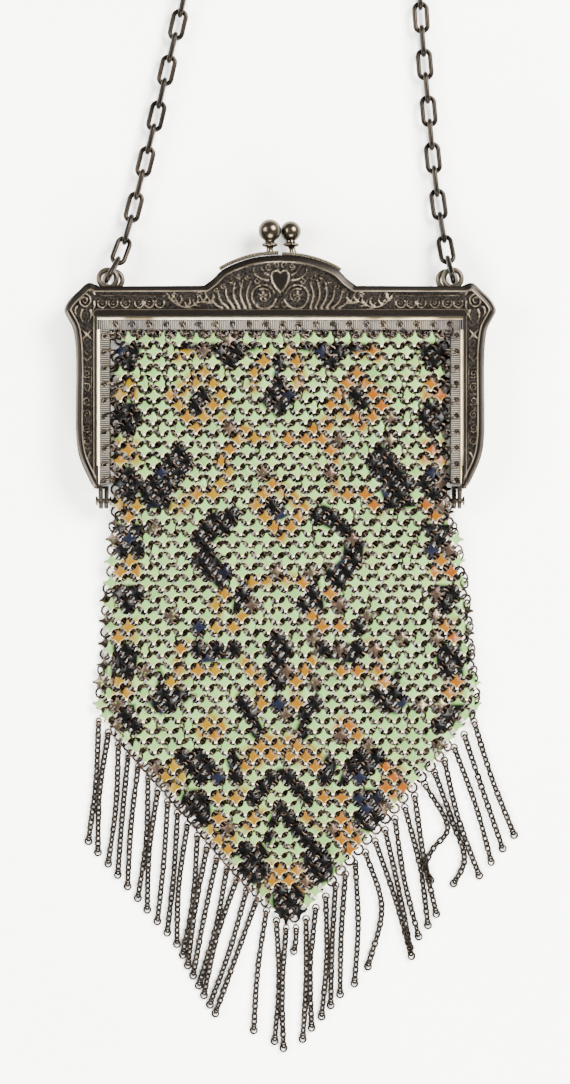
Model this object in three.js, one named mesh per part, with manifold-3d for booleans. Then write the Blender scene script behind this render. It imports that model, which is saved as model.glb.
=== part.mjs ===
/**
 * A metal mesh purse lying on its back with its carry chain laid out above it.
 *
 * Two engraved frame halves are closed face to face and turn on a riveted hinge at the foot of each
 * arm. A thin pierced strip lies under the inner edge of each half, and a panel of linked enamelled
 * tiles hangs from it. The panels meet at their sides and end in a point, which a fringe of fine
 * chains follows. A kiss clasp with two balls closes the top, and a long chain joins the corners.
 *
 * Millimetres. X runs across the purse, Y from the fringe towards the chain and Z out of the front.
 * The origin lies on the plain border of the back half, below the middle of the top bar.
 */
import * as THREE from 'three';
import { mergeVertices } from 'three/addons/utils/BufferGeometryUtils.js';
import Module from 'manifold-3d';

const wasm = await Module();
wasm.setup();

// Clearances and overlaps
const PIECE_GAP = 0.3;
const WELD = 0.12;

// Frame halves
const FRAME_WIDTH = 101.6;
const ARM_WIDTH = 5.2;
const ARM_LENGTH = 42.7;
const BAR_HEIGHT = 7.65;
const HALF_DEPTH = 4.6;
const FACE_THICKNESS = 1.3;
const SKIRT_THICKNESS = 1.2;
const RIM_WIDTH = 1.6;
const BAR_BORDER = 1.8;
const ARM_BORDER = 1;
const FIELD_DEPTH = 0.5;
const RELIEF_HEIGHT = 0.42;

// Arch over the middle of the top bar and swelling at each corner
const ARCH_HALF_WIDTH = 19;
const ARCH_RISE = 7.8;
const CORNER_SWELL = 2.9;
const CORNER_HEIGHT = 17.65;
const CORNER_EAR = 0.85;
const FOOT_LENGTH = 13.6;

// Raised ornament
const RING_COUNT = 6;
const RING_PITCH = 2.86;
const RING_RADIUS = 1.3;
const RING_START = 30;
const SCROLL_OFFSET = 4.6;
const SCROLL_OUTER = 3;
const SCROLL_INNER = 1.8;
const HEART_WIDTH = 5.2;
const HEART_HEIGHT = 5.4;
const HEART_BELOW_ARCH = 3.85;
const LEAF_LENGTH = 4.6;
const LEAF_WIDTH = 1.5;
const STUD_COUNT = 6;
const STUD_PITCH = 3.2;
const STUD_SIZE = 1.9;

// Hinge at the foot of each arm
const TAIL_THICKNESS = 1;
const TAIL_RADIUS = 2;
const TAIL_DROP = 4;
const TAIL_ROOT = 0.7;
const PIN_DIAMETER = 1.2;
const PIN_HEAD_DIAMETER = 2.2;
const PIN_HEAD_THICKNESS = 0.5;

// Eyes that hold the carry chain
const EYE_WIRE = 1.3;
const EYE_RADIUS = 2.2;
const EYE_ABOVE_BAR = 2.05;
const FRONT_EYE_X = 43;
const BACK_EYE_X = 41.8;

// Pierced strip that the mesh is laced to
const STRIP_WIDTH = 3.1;
const STRIP_THICKNESS = 0.6;
const STRIP_TUCK = 0.8;
const HOLE_SIZE = 0.95;
const HOLE_INSET = 1.45;
const TOP_HOLES = 21;
const SIDE_HOLES = 10;

// Mesh panels
const MESH_THICKNESS = 1.1;
const MESH_DROP = 51.7;
const MESH_POINT = 52.6;
const MESH_POINT_SHIFT = 2.6;
const MESH_POINT_BOW = 1.6;
const MESH_TIP_WIDTH = 3;
const MESH_COLUMNS = 6;
const POINT_ROWS = 5;

// Fringe of fine chains
const STRAND_COUNT = 39;
const STRAND_LENGTH = 31.3;
const STRAND_WIDTH = 1.6;
const STRAND_SAG = 0.9;
const HEAD_WIDTH = 1.2;
const HEAD_THICKNESS = 1.7;

// Kiss clasp
const FRONT_BALL = 5.7;
const BACK_BALL = 5.2;
const BALL_APART = 5.2;
const BALL_ABOVE_ARCH = 6.35;
const BALL_STAGGER = 2.5;
const COLLAR_DIAMETER = 3.6;
const COLLAR_THICKNESS = 0.9;
const NECK_DIAMETER = 1.7;
const CLASP_BAND_THICKNESS = 0.9;
const CLASP_BAND_WIDTH = 2.8;
const CLASP_BAND_END = 14.7;

// Carry chain
const LINK_COUNT = 51;
const LINK_WIDTH = 4.3;
const LINK_WIRE = 1.24;
const LINK_SIDES = 10;
const WIRE_SIDES = 5;
const FIRST_LINK_FROM_EYE = 3;
const CHAIN_REACH = 134.2;

// Arch outline: across as a share of ARCH_HALF_WIDTH, rise as a share of ARCH_RISE
const ARCH_ROWS = [
  { across: 0, rise: 1 },
  { across: 0.28, rise: 0.95 },
  { across: 0.55, rise: 0.77 },
  { across: 0.76, rise: 0.52 },
  { across: 0.89, rise: 0.22 },
  { across: 1, rise: 0.02 },
];

// Corner outline below the ear: out as a share of CORNER_SWELL, down as a share of CORNER_HEIGHT
const CORNER_ROWS = [
  { out: -0.21, down: 0.065 },
  { out: 0.45, down: 0.17 },
  { out: 0.88, down: 0.27 },
  { out: 1, down: 0.35 },
  { out: 0.69, down: 0.46 },
  { out: 0.31, down: 0.58 },
  { out: 0.12, down: 0.73 },
  { out: 0, down: 1 },
];

// Foot of an arm: inward as a share of ARM_WIDTH, up as a share of FOOT_LENGTH
const FOOT_ROWS = [
  { inward: 0, up: 1 },
  { inward: 0.08, up: 0.7 },
  { inward: 0.21, up: 0.51 },
  { inward: 0.5, up: 0.26 },
  { inward: 0.8, up: 0.05 },
  { inward: 1, up: 0 },
];

// Mesh panel down to its shoulders: down from 0 to 1 as a share of the stretch beside the arms and
// from 1 to 2 as a share of MESH_DROP below the hinges, left and right as shares of the half width
// at the strip, edge and the middles of the two panels as shares of the rise from the lower part
// to the strip
const PANEL_ROWS = [
  { down: 0, left: 1, right: 1, edge: 1, frontMiddle: 1, backMiddle: 1 },
  { down: 0.217, left: 1, right: 1, edge: 1, frontMiddle: 0.94, backMiddle: 0.2 },
  { down: 0.542, left: 1, right: 1, edge: 1, frontMiddle: 0.9, backMiddle: 0 },
  { down: 0.888, left: 1, right: 1, edge: 0.97, frontMiddle: 0.84, backMiddle: 0 },
  { down: 1.034, left: 1, right: 1.02, edge: 0.7, frontMiddle: 0.76, backMiddle: 0 },
  { down: 1.164, left: 1.015, right: 1.065, edge: 0.3, frontMiddle: 0.66, backMiddle: 0 },
  { down: 1.35, left: 1.035, right: 1.105, edge: 0.04, frontMiddle: 0.52, backMiddle: 0 },
  { down: 1.554, left: 1.06, right: 1.135, edge: 0, frontMiddle: 0.4, backMiddle: 0 },
  { down: 1.777, left: 1.078, right: 1.158, edge: 0, frontMiddle: 0.3, backMiddle: 0 },
  { down: 1.926, left: 1.088, right: 1.178, edge: 0, frontMiddle: 0.24, backMiddle: 0 },
  { down: 2, left: 1.083, right: 1.154, edge: 0, frontMiddle: 0.22, backMiddle: 0 },
];

// Lean of the fringe strands in degrees, to the right, between the strands named
const LEAN_ROWS = [
  { strand: 1, lean: -5 },
  { strand: 10, lean: -5 },
  { strand: 13, lean: -11.5 },
  { strand: 17, lean: -20 },
  { strand: 18, lean: -6 },
  { strand: 19, lean: -1 },
  { strand: 26, lean: -2.5 },
  { strand: 28, lean: 1.5 },
  { strand: 29, lean: 17.5 },
  { strand: 30, lean: 12 },
  { strand: 33, lean: 10.5 },
  { strand: 36, lean: 17 },
  { strand: 39, lean: 19.6 },
];

// Strands that don't lie straight: along as a share of STRAND_LENGTH down the strand, aside as a
// share of it to the right of the strand's own line
const BENT_STRANDS = [
  { strand: 21, route: [{ along: 0.11, aside: 0 }, { along: 0.22, aside: -0.02 }] },
  { strand: 28, route: [{ along: 0.45, aside: 0.12 }, { along: 0.95, aside: -0.01 }] },
  { strand: 34, route: [
    { along: 0.4, aside: 0.1 },
    { along: 0.52, aside: -0.04 },
    { along: 0.64, aside: -0.13 },
    { along: 0.8, aside: -0.12 },
  ] },
  { strand: 35, route: [
    { along: 0.45, aside: 0.04 },
    { along: 0.75, aside: 0.05 },
    { along: 0.93, aside: -0.1 },
  ] },
];

// Route of the carry chain between the front eyes: across as a share of FRONT_EYE_X, up from the
// eyes as a share of CHAIN_REACH, lift as a share of the height of the eyes above a link that lies
// flat
const CHAIN_ROUTE = [
  { across: -0.9488, up: 0.0335, lift: 0.63 },
  { across: -0.8977, up: 0.082, lift: 0.16 },
  { across: -0.8512, up: 0.1393, lift: 0 },
  { across: -0.7837, up: 0.225, lift: 0 },
  { across: -0.714, up: 0.3174, lift: 0 },
  { across: -0.6512, up: 0.4046, lift: 0 },
  { across: -0.5837, up: 0.4955, lift: 0 },
  { across: -0.486, up: 0.6423, lift: 0 },
  { across: -0.3953, up: 0.7839, lift: 0 },
  { across: -0.2209, up: 0.9292, lift: 0 },
  { across: 0.1907, up: 1, lift: 0 },
  { across: 0.6047, up: 0.9292, lift: 0 },
  { across: 0.7581, up: 0.7839, lift: 0 },
  { across: 0.8, up: 0.6423, lift: 0 },
  { across: 0.8209, up: 0.4918, lift: 0 },
  { across: 0.8419, up: 0.4046, lift: 0 },
  { across: 0.8674, up: 0.31, lift: 0 },
  { across: 0.893, up: 0.2213, lift: 0 },
  { across: 0.9256, up: 0.1356, lift: 0 },
  { across: 0.9535, up: 0.079, lift: 0.16 },
  { across: 0.9791, up: 0.0313, lift: 0.63 },
];

// Sizes that follow from the ones above
const DEPTH = 2 * HALF_DEPTH + PIECE_GAP;
const MID_DEPTH = DEPTH / 2;
const ARM_OUTER = FRAME_WIDTH / 2;
const ARM_INNER = ARM_OUTER - ARM_WIDTH;
const BAR_BOTTOM = -BAR_BORDER / 2;
const BAR_TOP = BAR_BOTTOM + BAR_HEIGHT;
const ARM_BOTTOM = BAR_BOTTOM - ARM_LENGTH;
const FOOT_TOP = ARM_BOTTOM + FOOT_LENGTH;
const EYE_Z = DEPTH - HALF_DEPTH / 2;
const EYE_Y = BAR_TOP + EYE_ABOVE_BAR;
const PIN_Y = ARM_BOTTOM - TAIL_DROP + TAIL_RADIUS / 2;
const FRONT_TAIL_X = ARM_INNER - 1.3;
const BACK_TAIL_X = FRONT_TAIL_X - TAIL_THICKNESS - PIECE_GAP;
const STRIP_INNER = ARM_INNER - STRIP_WIDTH;
const STRIP_LOWER = BAR_BOTTOM - STRIP_WIDTH;
const STRIP_END = ARM_BOTTOM + TAIL_ROOT + 0.4;
const POCKET_BOTTOM = ARM_BOTTOM + FOOT_LENGTH * 0.4;
const FIELD_BOTTOM = ARM_BOTTOM + FOOT_LENGTH * 0.52;
const STRIP_TOP_Z = DEPTH - FACE_THICKNESS - PIECE_GAP;
const MESH_TOP_Y = STRIP_LOWER - PIECE_GAP;
const MESH_FREE_Y = PIN_Y - TAIL_RADIUS;
const MESH_HALF_WIDTH = STRIP_INNER - PIECE_GAP;
const SHOULDER_Y = MESH_FREE_Y - MESH_DROP;
const MESH_TIP_Y = SHOULDER_Y - MESH_POINT;

const materials = {
  oxidised_metal: { color: 0x5b5248, roughness: 0.42, metalness: 0.9 },
  strip_metal: { color: 0xd9d1bd, roughness: 0.4, metalness: 0.55 },
  enamelled_mesh: { color: 0xb7cfae, roughness: 0.35, metalness: 0.25 },
  clasp_metal: { color: 0x8d8270, roughness: 0.3, metalness: 0.95 },
  chain_metal: { color: 0x5e4c3d, roughness: 0.4, metalness: 0.9 },
};

/** A manifold solid from a closed geometry. */
function solidOf(geometry) {
  const bare = geometry.clone();
  bare.deleteAttribute('normal');
  bare.deleteAttribute('uv');
  const merged = mergeVertices(bare, 1e-4);
  const mesh = new wasm.Mesh({
    numProp: 3,
    vertProperties: new Float32Array(merged.attributes.position.array),
    triVerts: new Uint32Array(merged.index.array),
  });
  return new wasm.Manifold(mesh);
}

/** A geometry from a manifold solid. */
function geometryOf(solid) {
  const mesh = solid.getMesh();
  const geometry = new THREE.BufferGeometry();
  geometry.setAttribute('position', new THREE.BufferAttribute(mesh.vertProperties, 3));
  geometry.setIndex(new THREE.BufferAttribute(mesh.triVerts, 1));
  geometry.computeVertexNormals();
  return geometry;
}

/** All the solids in a list joined into one. */
function joined(solids) {
  return solids.reduce((sum, solid) => sum.add(solid));
}

/** A flat outline given thickness, from height z0 to z1. */
function slab(points, z0, z1) {
  const shape = new THREE.Shape(points);
  const geometry = new THREE.ExtrudeGeometry(shape, { depth: z1 - z0, bevelEnabled: false });
  return solidOf(geometry.translate(0, 0, z0));
}

/** A right-hand half outline closed by its own mirror image. */
function mirrorOutline(rightHalf) {
  const leftHalf = rightHalf
    .filter((point) => point.x > 1e-6)
    .map((point) => new THREE.Vector2(-point.x, point.y))
    .reverse();
  return [...rightHalf, ...leftHalf];
}

/** A polyline moved sideways by a distance, to the right of its direction of travel. */
function moveInward(points, distance) {
  return points.map((point, i) => {
    const before = points[Math.max(i - 1, 0)];
    const after = points[Math.min(i + 1, points.length - 1)];
    const inFlow = point.clone().sub(before).normalize();
    const outFlow = after.clone().sub(point).normalize();
    const flow = inFlow.add(outFlow).normalize();
    return new THREE.Vector2(point.x + flow.y * distance, point.y - flow.x * distance);
  });
}

/** A regular flat boss or diamond around a centre. */
function bossPoints(x, y, sides, radiusX, radiusY, turn = 0) {
  return Array.from({ length: sides }, (_, i) => {
    const angle = (2 * Math.PI * i) / sides;
    const point = new THREE.Vector2(radiusX * Math.cos(angle), radiusY * Math.sin(angle));
    return point.rotateAround(new THREE.Vector2(), turn).add(new THREE.Vector2(x, y));
  });
}

/** The arch outline at a distance across from the middle. */
function archCurve() {
  return new THREE.SplineCurve(
    ARCH_ROWS.map((row) => new THREE.Vector2(
      row.across * ARCH_HALF_WIDTH,
      BAR_TOP + row.rise * ARCH_RISE,
    )),
  );
}

/** The right-hand outer edge of a frame half, from the top of the arch down to the foot. */
function outerEdge() {
  const arch = archCurve().getPoints(7);
  const ear = new THREE.Vector2(ARM_OUTER - 1.07 * CORNER_SWELL, BAR_TOP + CORNER_EAR);
  const earStart = new THREE.Vector2(ARM_OUTER - 2 * CORNER_SWELL, BAR_TOP);
  const corner = CORNER_ROWS.map((row) => new THREE.Vector2(
    ARM_OUTER + row.out * CORNER_SWELL,
    BAR_TOP - row.down * CORNER_HEIGHT,
  ));
  return [...arch, earStart, ear, ...corner, new THREE.Vector2(ARM_OUTER, FOOT_TOP)];
}

/** The whole outline of a frame half. */
function frameOutline() {
  const foot = FOOT_ROWS.slice(1).map((row) => new THREE.Vector2(
    ARM_OUTER - row.inward * ARM_WIDTH,
    ARM_BOTTOM + row.up * FOOT_LENGTH,
  ));
  const inner = [new THREE.Vector2(ARM_INNER, BAR_BOTTOM)];
  return mirrorOutline([...outerEdge(), ...foot, ...inner]);
}

/** A region inside the frame outline, between an inset outer edge and the edges beside the mesh. */
function bandOutline(outerInset, armInset, barInset, bottom) {
  const edge = moveInward(outerEdge(), outerInset);
  edge[0].x = 0;
  edge[edge.length - 1].y = bottom;
  return mirrorOutline([
    ...edge,
    new THREE.Vector2(ARM_INNER + armInset, bottom),
    new THREE.Vector2(ARM_INNER + armInset, BAR_BOTTOM + barInset),
  ]);
}

/** The ornament along the bar and arms of one face, as flat outlines. */
function ornamentOutlines() {
  const outlines = [];
  const barMiddle = (BAR_BOTTOM + BAR_BORDER + BAR_TOP - RIM_WIDTH) / 2;
  const armMiddle = (ARM_INNER + ARM_BORDER + ARM_OUTER - RIM_WIDTH) / 2;
  for (const side of [-1, 1]) {
    for (let i = 0; i < RING_COUNT; i += 1) {
      const x = side * (RING_START + i * RING_PITCH);
      outlines.push(bossPoints(x, barMiddle, 6, RING_RADIUS, RING_RADIUS));
    }
    for (const turn of [-0.6, 0.6]) {
      const leafX = side * (RING_START - RING_RADIUS - LEAF_LENGTH / 2 - 0.4);
      outlines.push(bossPoints(leafX, barMiddle, 4, LEAF_LENGTH / 2, LEAF_WIDTH / 2, turn));
    }
    outlines.push(bossPoints(side * (armMiddle + 1), barMiddle - 1, 6, 1.8, 1.8));
    const studTop = BAR_TOP - CORNER_HEIGHT - STUD_SIZE / 2;
    for (let i = 0; i < STUD_COUNT; i += 1) {
      const y = studTop - i * STUD_PITCH;
      outlines.push(bossPoints(side * armMiddle, y, 4, STUD_SIZE / 2, STUD_SIZE / 2));
    }
    const crossY = BAR_TOP - 0.72 * CORNER_HEIGHT;
    outlines.push(bossPoints(side * armMiddle, crossY, 4, STUD_SIZE / 2, LEAF_LENGTH / 2));
  }
  return outlines;
}

/** The plain heart-shaped shield under the top of the arch. */
function heartPoints() {
  const x = 0;
  const y = BAR_TOP + ARCH_RISE - HEART_BELOW_ARCH - HEART_HEIGHT / 2;
  const w = HEART_WIDTH / 2;
  const h = HEART_HEIGHT / 2;
  return [
    new THREE.Vector2(x, y + 0.72 * h),
    new THREE.Vector2(x - 0.6 * w, y + h),
    new THREE.Vector2(x - w, y + 0.35 * h),
    new THREE.Vector2(x, y - h),
    new THREE.Vector2(x + w, y + 0.35 * h),
    new THREE.Vector2(x + 0.6 * w, y + h),
  ];
}

/** The two open scrolls beside the shield. */
function scrollSolids(z0, z1) {
  const scrollY = BAR_BOTTOM + BAR_BORDER + SCROLL_OUTER + 0.2;
  return [-1, 1].map((side) => {
    const x = side * SCROLL_OFFSET;
    const shape = new THREE.Shape(bossPoints(x, scrollY, 10, SCROLL_OUTER, SCROLL_OUTER));
    shape.holes.push(new THREE.Path(bossPoints(x, scrollY, 10, SCROLL_INNER, SCROLL_INNER)));
    const options = { depth: z1 - z0, bevelEnabled: false };
    return solidOf(new THREE.ExtrudeGeometry(shape, options).translate(0, 0, z0));
  });
}

/** One hinge tail: a thin plate that hangs from the foot and rounds off about the pin. */
function hingeTail(side, innerX) {
  const rootTop = ARM_BOTTOM + TAIL_ROOT;
  const plate = new THREE.Shape();
  plate.moveTo(DEPTH - 0.4, rootTop);
  plate.lineTo(MID_DEPTH - TAIL_RADIUS * 0.3, ARM_BOTTOM - 0.2);
  plate.lineTo(MID_DEPTH - TAIL_RADIUS, PIN_Y);
  plate.absarc(MID_DEPTH, PIN_Y, TAIL_RADIUS, Math.PI, 2 * Math.PI, false);
  plate.lineTo(DEPTH - 0.4, ARM_BOTTOM - 0.6);
  const bore = (PIN_DIAMETER + 2 * PIECE_GAP) / 2;
  plate.holes.push(new THREE.Path(bossPoints(MID_DEPTH, PIN_Y, 6, bore, bore)));
  const options = { depth: TAIL_THICKNESS, bevelEnabled: false, curveSegments: 5 };
  const plateGeometry = new THREE.ExtrudeGeometry(plate, options);
  // The plate is drawn with Z across and Y up, then turned so that its thickness runs along X.
  plateGeometry.rotateY(-Math.PI / 2);
  plateGeometry.translate(side * (innerX + TAIL_THICKNESS / 2) + TAIL_THICKNESS / 2, 0, 0);
  const rootWidth = ARM_INNER + 0.8 - innerX;
  const root = new THREE.BoxGeometry(rootWidth, TAIL_ROOT, FACE_THICKNESS);
  root.translate(
    side * (innerX + rootWidth / 2),
    rootTop - TAIL_ROOT / 2,
    DEPTH - 0.2 - FACE_THICKNESS / 2,
  );
  return solidOf(plateGeometry).add(solidOf(root));
}

/** A chain eye standing on the top edge of a frame half. */
function chainEye(x, y) {
  const eye = new THREE.TorusGeometry(EYE_RADIUS, EYE_WIRE / 2, 5, 10);
  return solidOf(eye.translate(x, y, EYE_Z));
}

/** A frame half in the place of the front one. The back one is plain along its bar and arms. */
function frameHalf(eyeX, tailX, ornate) {
  const inside = DEPTH - HALF_DEPTH;
  const faceBack = DEPTH - FACE_THICKNESS;
  const field = DEPTH - FIELD_DEPTH;
  const pocket = bandOutline(SKIRT_THICKNESS, -1, -1, POCKET_BOTTOM);
  const sunk = bandOutline(RIM_WIDTH, ARM_BORDER, BAR_BORDER, FIELD_BOTTOM);
  let half = slab(frameOutline(), inside, DEPTH);
  half = half.subtract(slab(pocket, inside - 1, faceBack));
  half = half.subtract(slab(sunk, field, DEPTH + 1));
  const outlines = ornate ? [heartPoints(), ...ornamentOutlines()] : [heartPoints()];
  const raised = outlines.map((points) => slab(points, field - 0.2, field + RELIEF_HEIGHT));
  half = half.add(joined([...raised, ...scrollSolids(field - 0.2, field + RELIEF_HEIGHT)]));
  for (const side of [-1, 1]) {
    half = half.add(chainEye(side * eyeX, EYE_Y));
    half = half.add(hingeTail(side, tailX));
  }
  return half;
}

/** A strip with a row of lacing holes, in the place of the front one. */
function lacingStrip() {
  const outer = ARM_INNER + STRIP_TUCK;
  const top = BAR_BOTTOM + STRIP_TUCK;
  const footClear = ARM_INNER - PIECE_GAP;
  const tuckEnd = POCKET_BOTTOM + PIECE_GAP;
  const shape = new THREE.Shape([
    new THREE.Vector2(-footClear, tuckEnd),
    new THREE.Vector2(-footClear, STRIP_END),
    new THREE.Vector2(-STRIP_INNER, STRIP_END),
    new THREE.Vector2(-STRIP_INNER, STRIP_LOWER),
    new THREE.Vector2(STRIP_INNER, STRIP_LOWER),
    new THREE.Vector2(STRIP_INNER, STRIP_END),
    new THREE.Vector2(footClear, STRIP_END),
    new THREE.Vector2(footClear, tuckEnd),
    new THREE.Vector2(outer, tuckEnd),
    new THREE.Vector2(outer, top),
    new THREE.Vector2(-outer, top),
    new THREE.Vector2(-outer, tuckEnd),
  ]);
  const halfHole = HOLE_SIZE / Math.SQRT2;
  const holeX = STRIP_INNER + HOLE_INSET;
  const holeY = STRIP_LOWER + HOLE_INSET;
  const topPitch = (2 * holeX) / (TOP_HOLES - 1);
  const sidePitch = (holeY - STRIP_END - HOLE_INSET) / SIDE_HOLES;
  for (let i = 0; i < TOP_HOLES; i += 1) {
    const x = -holeX + i * topPitch;
    shape.holes.push(new THREE.Path(bossPoints(x, holeY, 4, halfHole, halfHole)));
  }
  for (const side of [-1, 1]) {
    for (let i = 1; i <= SIDE_HOLES; i += 1) {
      const y = holeY - i * sidePitch;
      shape.holes.push(new THREE.Path(bossPoints(side * holeX, y, 4, halfHole, halfHole)));
    }
  }
  const options = { depth: STRIP_THICKNESS, bevelEnabled: false };
  return new THREE.ExtrudeGeometry(shape, options).translate(0, 0, STRIP_TOP_Z - STRIP_THICKNESS);
}

/** The height of a row of the mesh panel, beside the arms or below the hinges. */
function panelY(down) {
  if (down <= 1) return THREE.MathUtils.lerp(MESH_TOP_Y, MESH_FREE_Y, down);
  return THREE.MathUtils.lerp(MESH_FREE_Y, SHOULDER_Y, down - 1);
}

/** Rows of the mesh panel from the strip to the tip, with real y, left and right edges. */
function panelRows() {
  const rows = PANEL_ROWS.map((row) => ({
    y: panelY(row.down),
    left: -row.left * MESH_HALF_WIDTH,
    right: row.right * MESH_HALF_WIDTH,
    edge: row.edge,
    frontMiddle: row.frontMiddle,
    backMiddle: row.backMiddle,
  }));
  const shoulder = rows[rows.length - 1];
  for (let i = 1; i <= POINT_ROWS; i += 1) {
    const t = i / POINT_ROWS;
    const bow = 4 * MESH_POINT_BOW * t * (1 - t);
    const half = MESH_TIP_WIDTH / 2;
    rows.push({
      y: SHOULDER_Y - t * MESH_POINT,
      left: THREE.MathUtils.lerp(shoulder.left, MESH_POINT_SHIFT - half, t) - bow,
      right: THREE.MathUtils.lerp(shoulder.right, MESH_POINT_SHIFT + half, t) + bow,
      edge: shoulder.edge,
      frontMiddle: shoulder.frontMiddle * (1 - t),
      backMiddle: shoulder.backMiddle,
    });
  }
  return rows;
}

/**
 * One mesh panel: a box folded onto the rows. Its underside lies at
 * low + (high - low) * (edge + (middle - edge) * cos(pi * across / 2)), with across from -1 to 1.
 */
function meshPanel(low, high, middleColumn) {
  const rows = panelRows();
  const geometry = new THREE.BoxGeometry(1, 1, 1, MESH_COLUMNS, rows.length - 1, 1);
  const position = geometry.attributes.position;
  for (let i = 0; i < position.count; i += 1) {
    const across = 2 * position.getX(i);
    const row = rows[Math.round((0.5 - position.getY(i)) * (rows.length - 1))];
    const x = THREE.MathUtils.lerp(row.left, row.right, (across + 1) / 2);
    const rise = row[middleColumn] - row.edge;
    const share = row.edge + rise * Math.cos((Math.PI * across) / 2);
    const under = low + (high - low) * share;
    position.setXYZ(i, x, row.y, under + (position.getZ(i) + 0.5) * MESH_THICKNESS);
  }
  return geometry;
}

/** The value of a column at a strand, straight between the rows around it. */
function leanOf(strand) {
  const next = LEAN_ROWS.findIndex((row) => row.strand >= strand);
  if (next <= 0) return LEAN_ROWS[0].lean;
  const a = LEAN_ROWS[next - 1];
  const b = LEAN_ROWS[next];
  return THREE.MathUtils.lerp(a.lean, b.lean, (strand - a.strand) / (b.strand - a.strand));
}

/** The lower edge of the mesh, from the left shoulder round the tip to the right shoulder. */
function pointEdge(outset) {
  const rows = panelRows().slice(PANEL_ROWS.length - 1);
  const left = rows.map((row) => new THREE.Vector2(row.left, row.y));
  const right = rows.map((row) => new THREE.Vector2(row.right, row.y)).reverse();
  return moveInward([...left, ...right], outset);
}

/** The narrow head that the strands hang from, along both edges of the point. */
function fringeHead() {
  const near = pointEdge(PIECE_GAP);
  const far = pointEdge(PIECE_GAP + HEAD_WIDTH).reverse();
  return slab([...near, ...far], 0, HEAD_THICKNESS);
}

/** The route of one strand, lying on the surface from its top at the head to its end. */
function strandRoute(strand, top) {
  const angle = THREE.MathUtils.degToRad(leanOf(strand));
  const bent = BENT_STRANDS.find((row) => row.strand === strand);
  const bow = (STRAND_SAG / STRAND_LENGTH) * Math.sin(strand * 2.4);
  const plain = [{ along: 0.5, aside: bow }, { along: 1, aside: 0 }];
  const steps = bent ? bent.route : plain;
  const points = [{ along: 0, aside: 0 }, ...steps].map((step) => {
    const along = step.along * STRAND_LENGTH;
    const aside = step.aside * STRAND_LENGTH;
    return new THREE.Vector3(
      top.x + along * Math.sin(angle) + aside * Math.cos(angle),
      top.y - along * Math.cos(angle) + aside * Math.sin(angle),
      STRAND_WIDTH / 2,
    );
  });
  return new THREE.CatmullRomCurve3(points);
}

/** The fringe: the head and every strand joined in one body. */
function fringe() {
  const edge = pointEdge(PIECE_GAP + HEAD_WIDTH / 2);
  const ends = { left: edge[0].x, right: edge[edge.length - 1].x };
  const section = new THREE.Shape(bossPoints(0, 0, 5, STRAND_WIDTH / 2, STRAND_WIDTH / 2));
  const solids = [fringeHead()];
  for (let strand = 1; strand <= STRAND_COUNT; strand += 1) {
    const inset = STRAND_WIDTH / 2;
    const t = (strand - 1) / (STRAND_COUNT - 1);
    const x = THREE.MathUtils.lerp(ends.left + inset, ends.right - inset, t);
    const k = Math.max(edge.findIndex((point) => point.x >= x), 1);
    const share = (x - edge[k - 1].x) / (edge[k].x - edge[k - 1].x);
    const y = THREE.MathUtils.lerp(edge[k - 1].y, edge[k].y, share);
    const path = strandRoute(strand, new THREE.Vector2(x, y));
    const steps = path.points.length > 3 ? 6 : 2;
    const options = { steps, bevelEnabled: false, extrudePath: path };
    solids.push(solidOf(new THREE.ExtrudeGeometry(section, options)));
  }
  return joined(solids);
}

/** A hinge pin with a low head at each end. */
function hingePin(side) {
  const inner = BACK_TAIL_X - PIECE_GAP - PIN_HEAD_THICKNESS;
  const outer = FRONT_TAIL_X + TAIL_THICKNESS + PIECE_GAP + PIN_HEAD_THICKNESS;
  const r = PIN_DIAMETER / 2;
  const head = PIN_HEAD_DIAMETER / 2;
  const profile = [
    new THREE.Vector2(0, inner),
    new THREE.Vector2(head, inner),
    new THREE.Vector2(head, inner + PIN_HEAD_THICKNESS),
    new THREE.Vector2(r, inner + PIN_HEAD_THICKNESS),
    new THREE.Vector2(r, outer - PIN_HEAD_THICKNESS),
    new THREE.Vector2(head, outer - PIN_HEAD_THICKNESS),
    new THREE.Vector2(head, outer),
    new THREE.Vector2(0, outer),
  ];
  const pin = new THREE.LatheGeometry(profile, 8);
  pin.rotateZ(side * -Math.PI / 2);
  return pin.translate(0, PIN_Y, MID_DEPTH);
}

/** A ball with its collar and neck, standing up from the clasp band. */
function claspBall(diameter, x, z) {
  const archTop = BAR_TOP + ARCH_RISE;
  const centre = archTop + BALL_ABOVE_ARCH;
  const r = diameter / 2;
  const collarTop = centre - r - 0.25;
  const profile = [new THREE.Vector2(0, archTop + PIECE_GAP + 0.3)];
  profile.push(new THREE.Vector2(NECK_DIAMETER / 2, archTop + PIECE_GAP + 0.3));
  profile.push(new THREE.Vector2(NECK_DIAMETER / 2, collarTop - COLLAR_THICKNESS));
  profile.push(new THREE.Vector2(COLLAR_DIAMETER / 2, collarTop - COLLAR_THICKNESS));
  profile.push(new THREE.Vector2(COLLAR_DIAMETER / 2, collarTop));
  for (let i = 0; i <= 6; i += 1) {
    const angle = THREE.MathUtils.degToRad(THREE.MathUtils.lerp(-62, 90, i / 6));
    profile.push(new THREE.Vector2(Math.abs(r * Math.cos(angle)), centre + r * Math.sin(angle)));
  }
  profile[profile.length - 1].x = 0;
  const ball = new THREE.LatheGeometry(profile, 12);
  return solidOf(ball.translate(x, 0, z));
}

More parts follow.
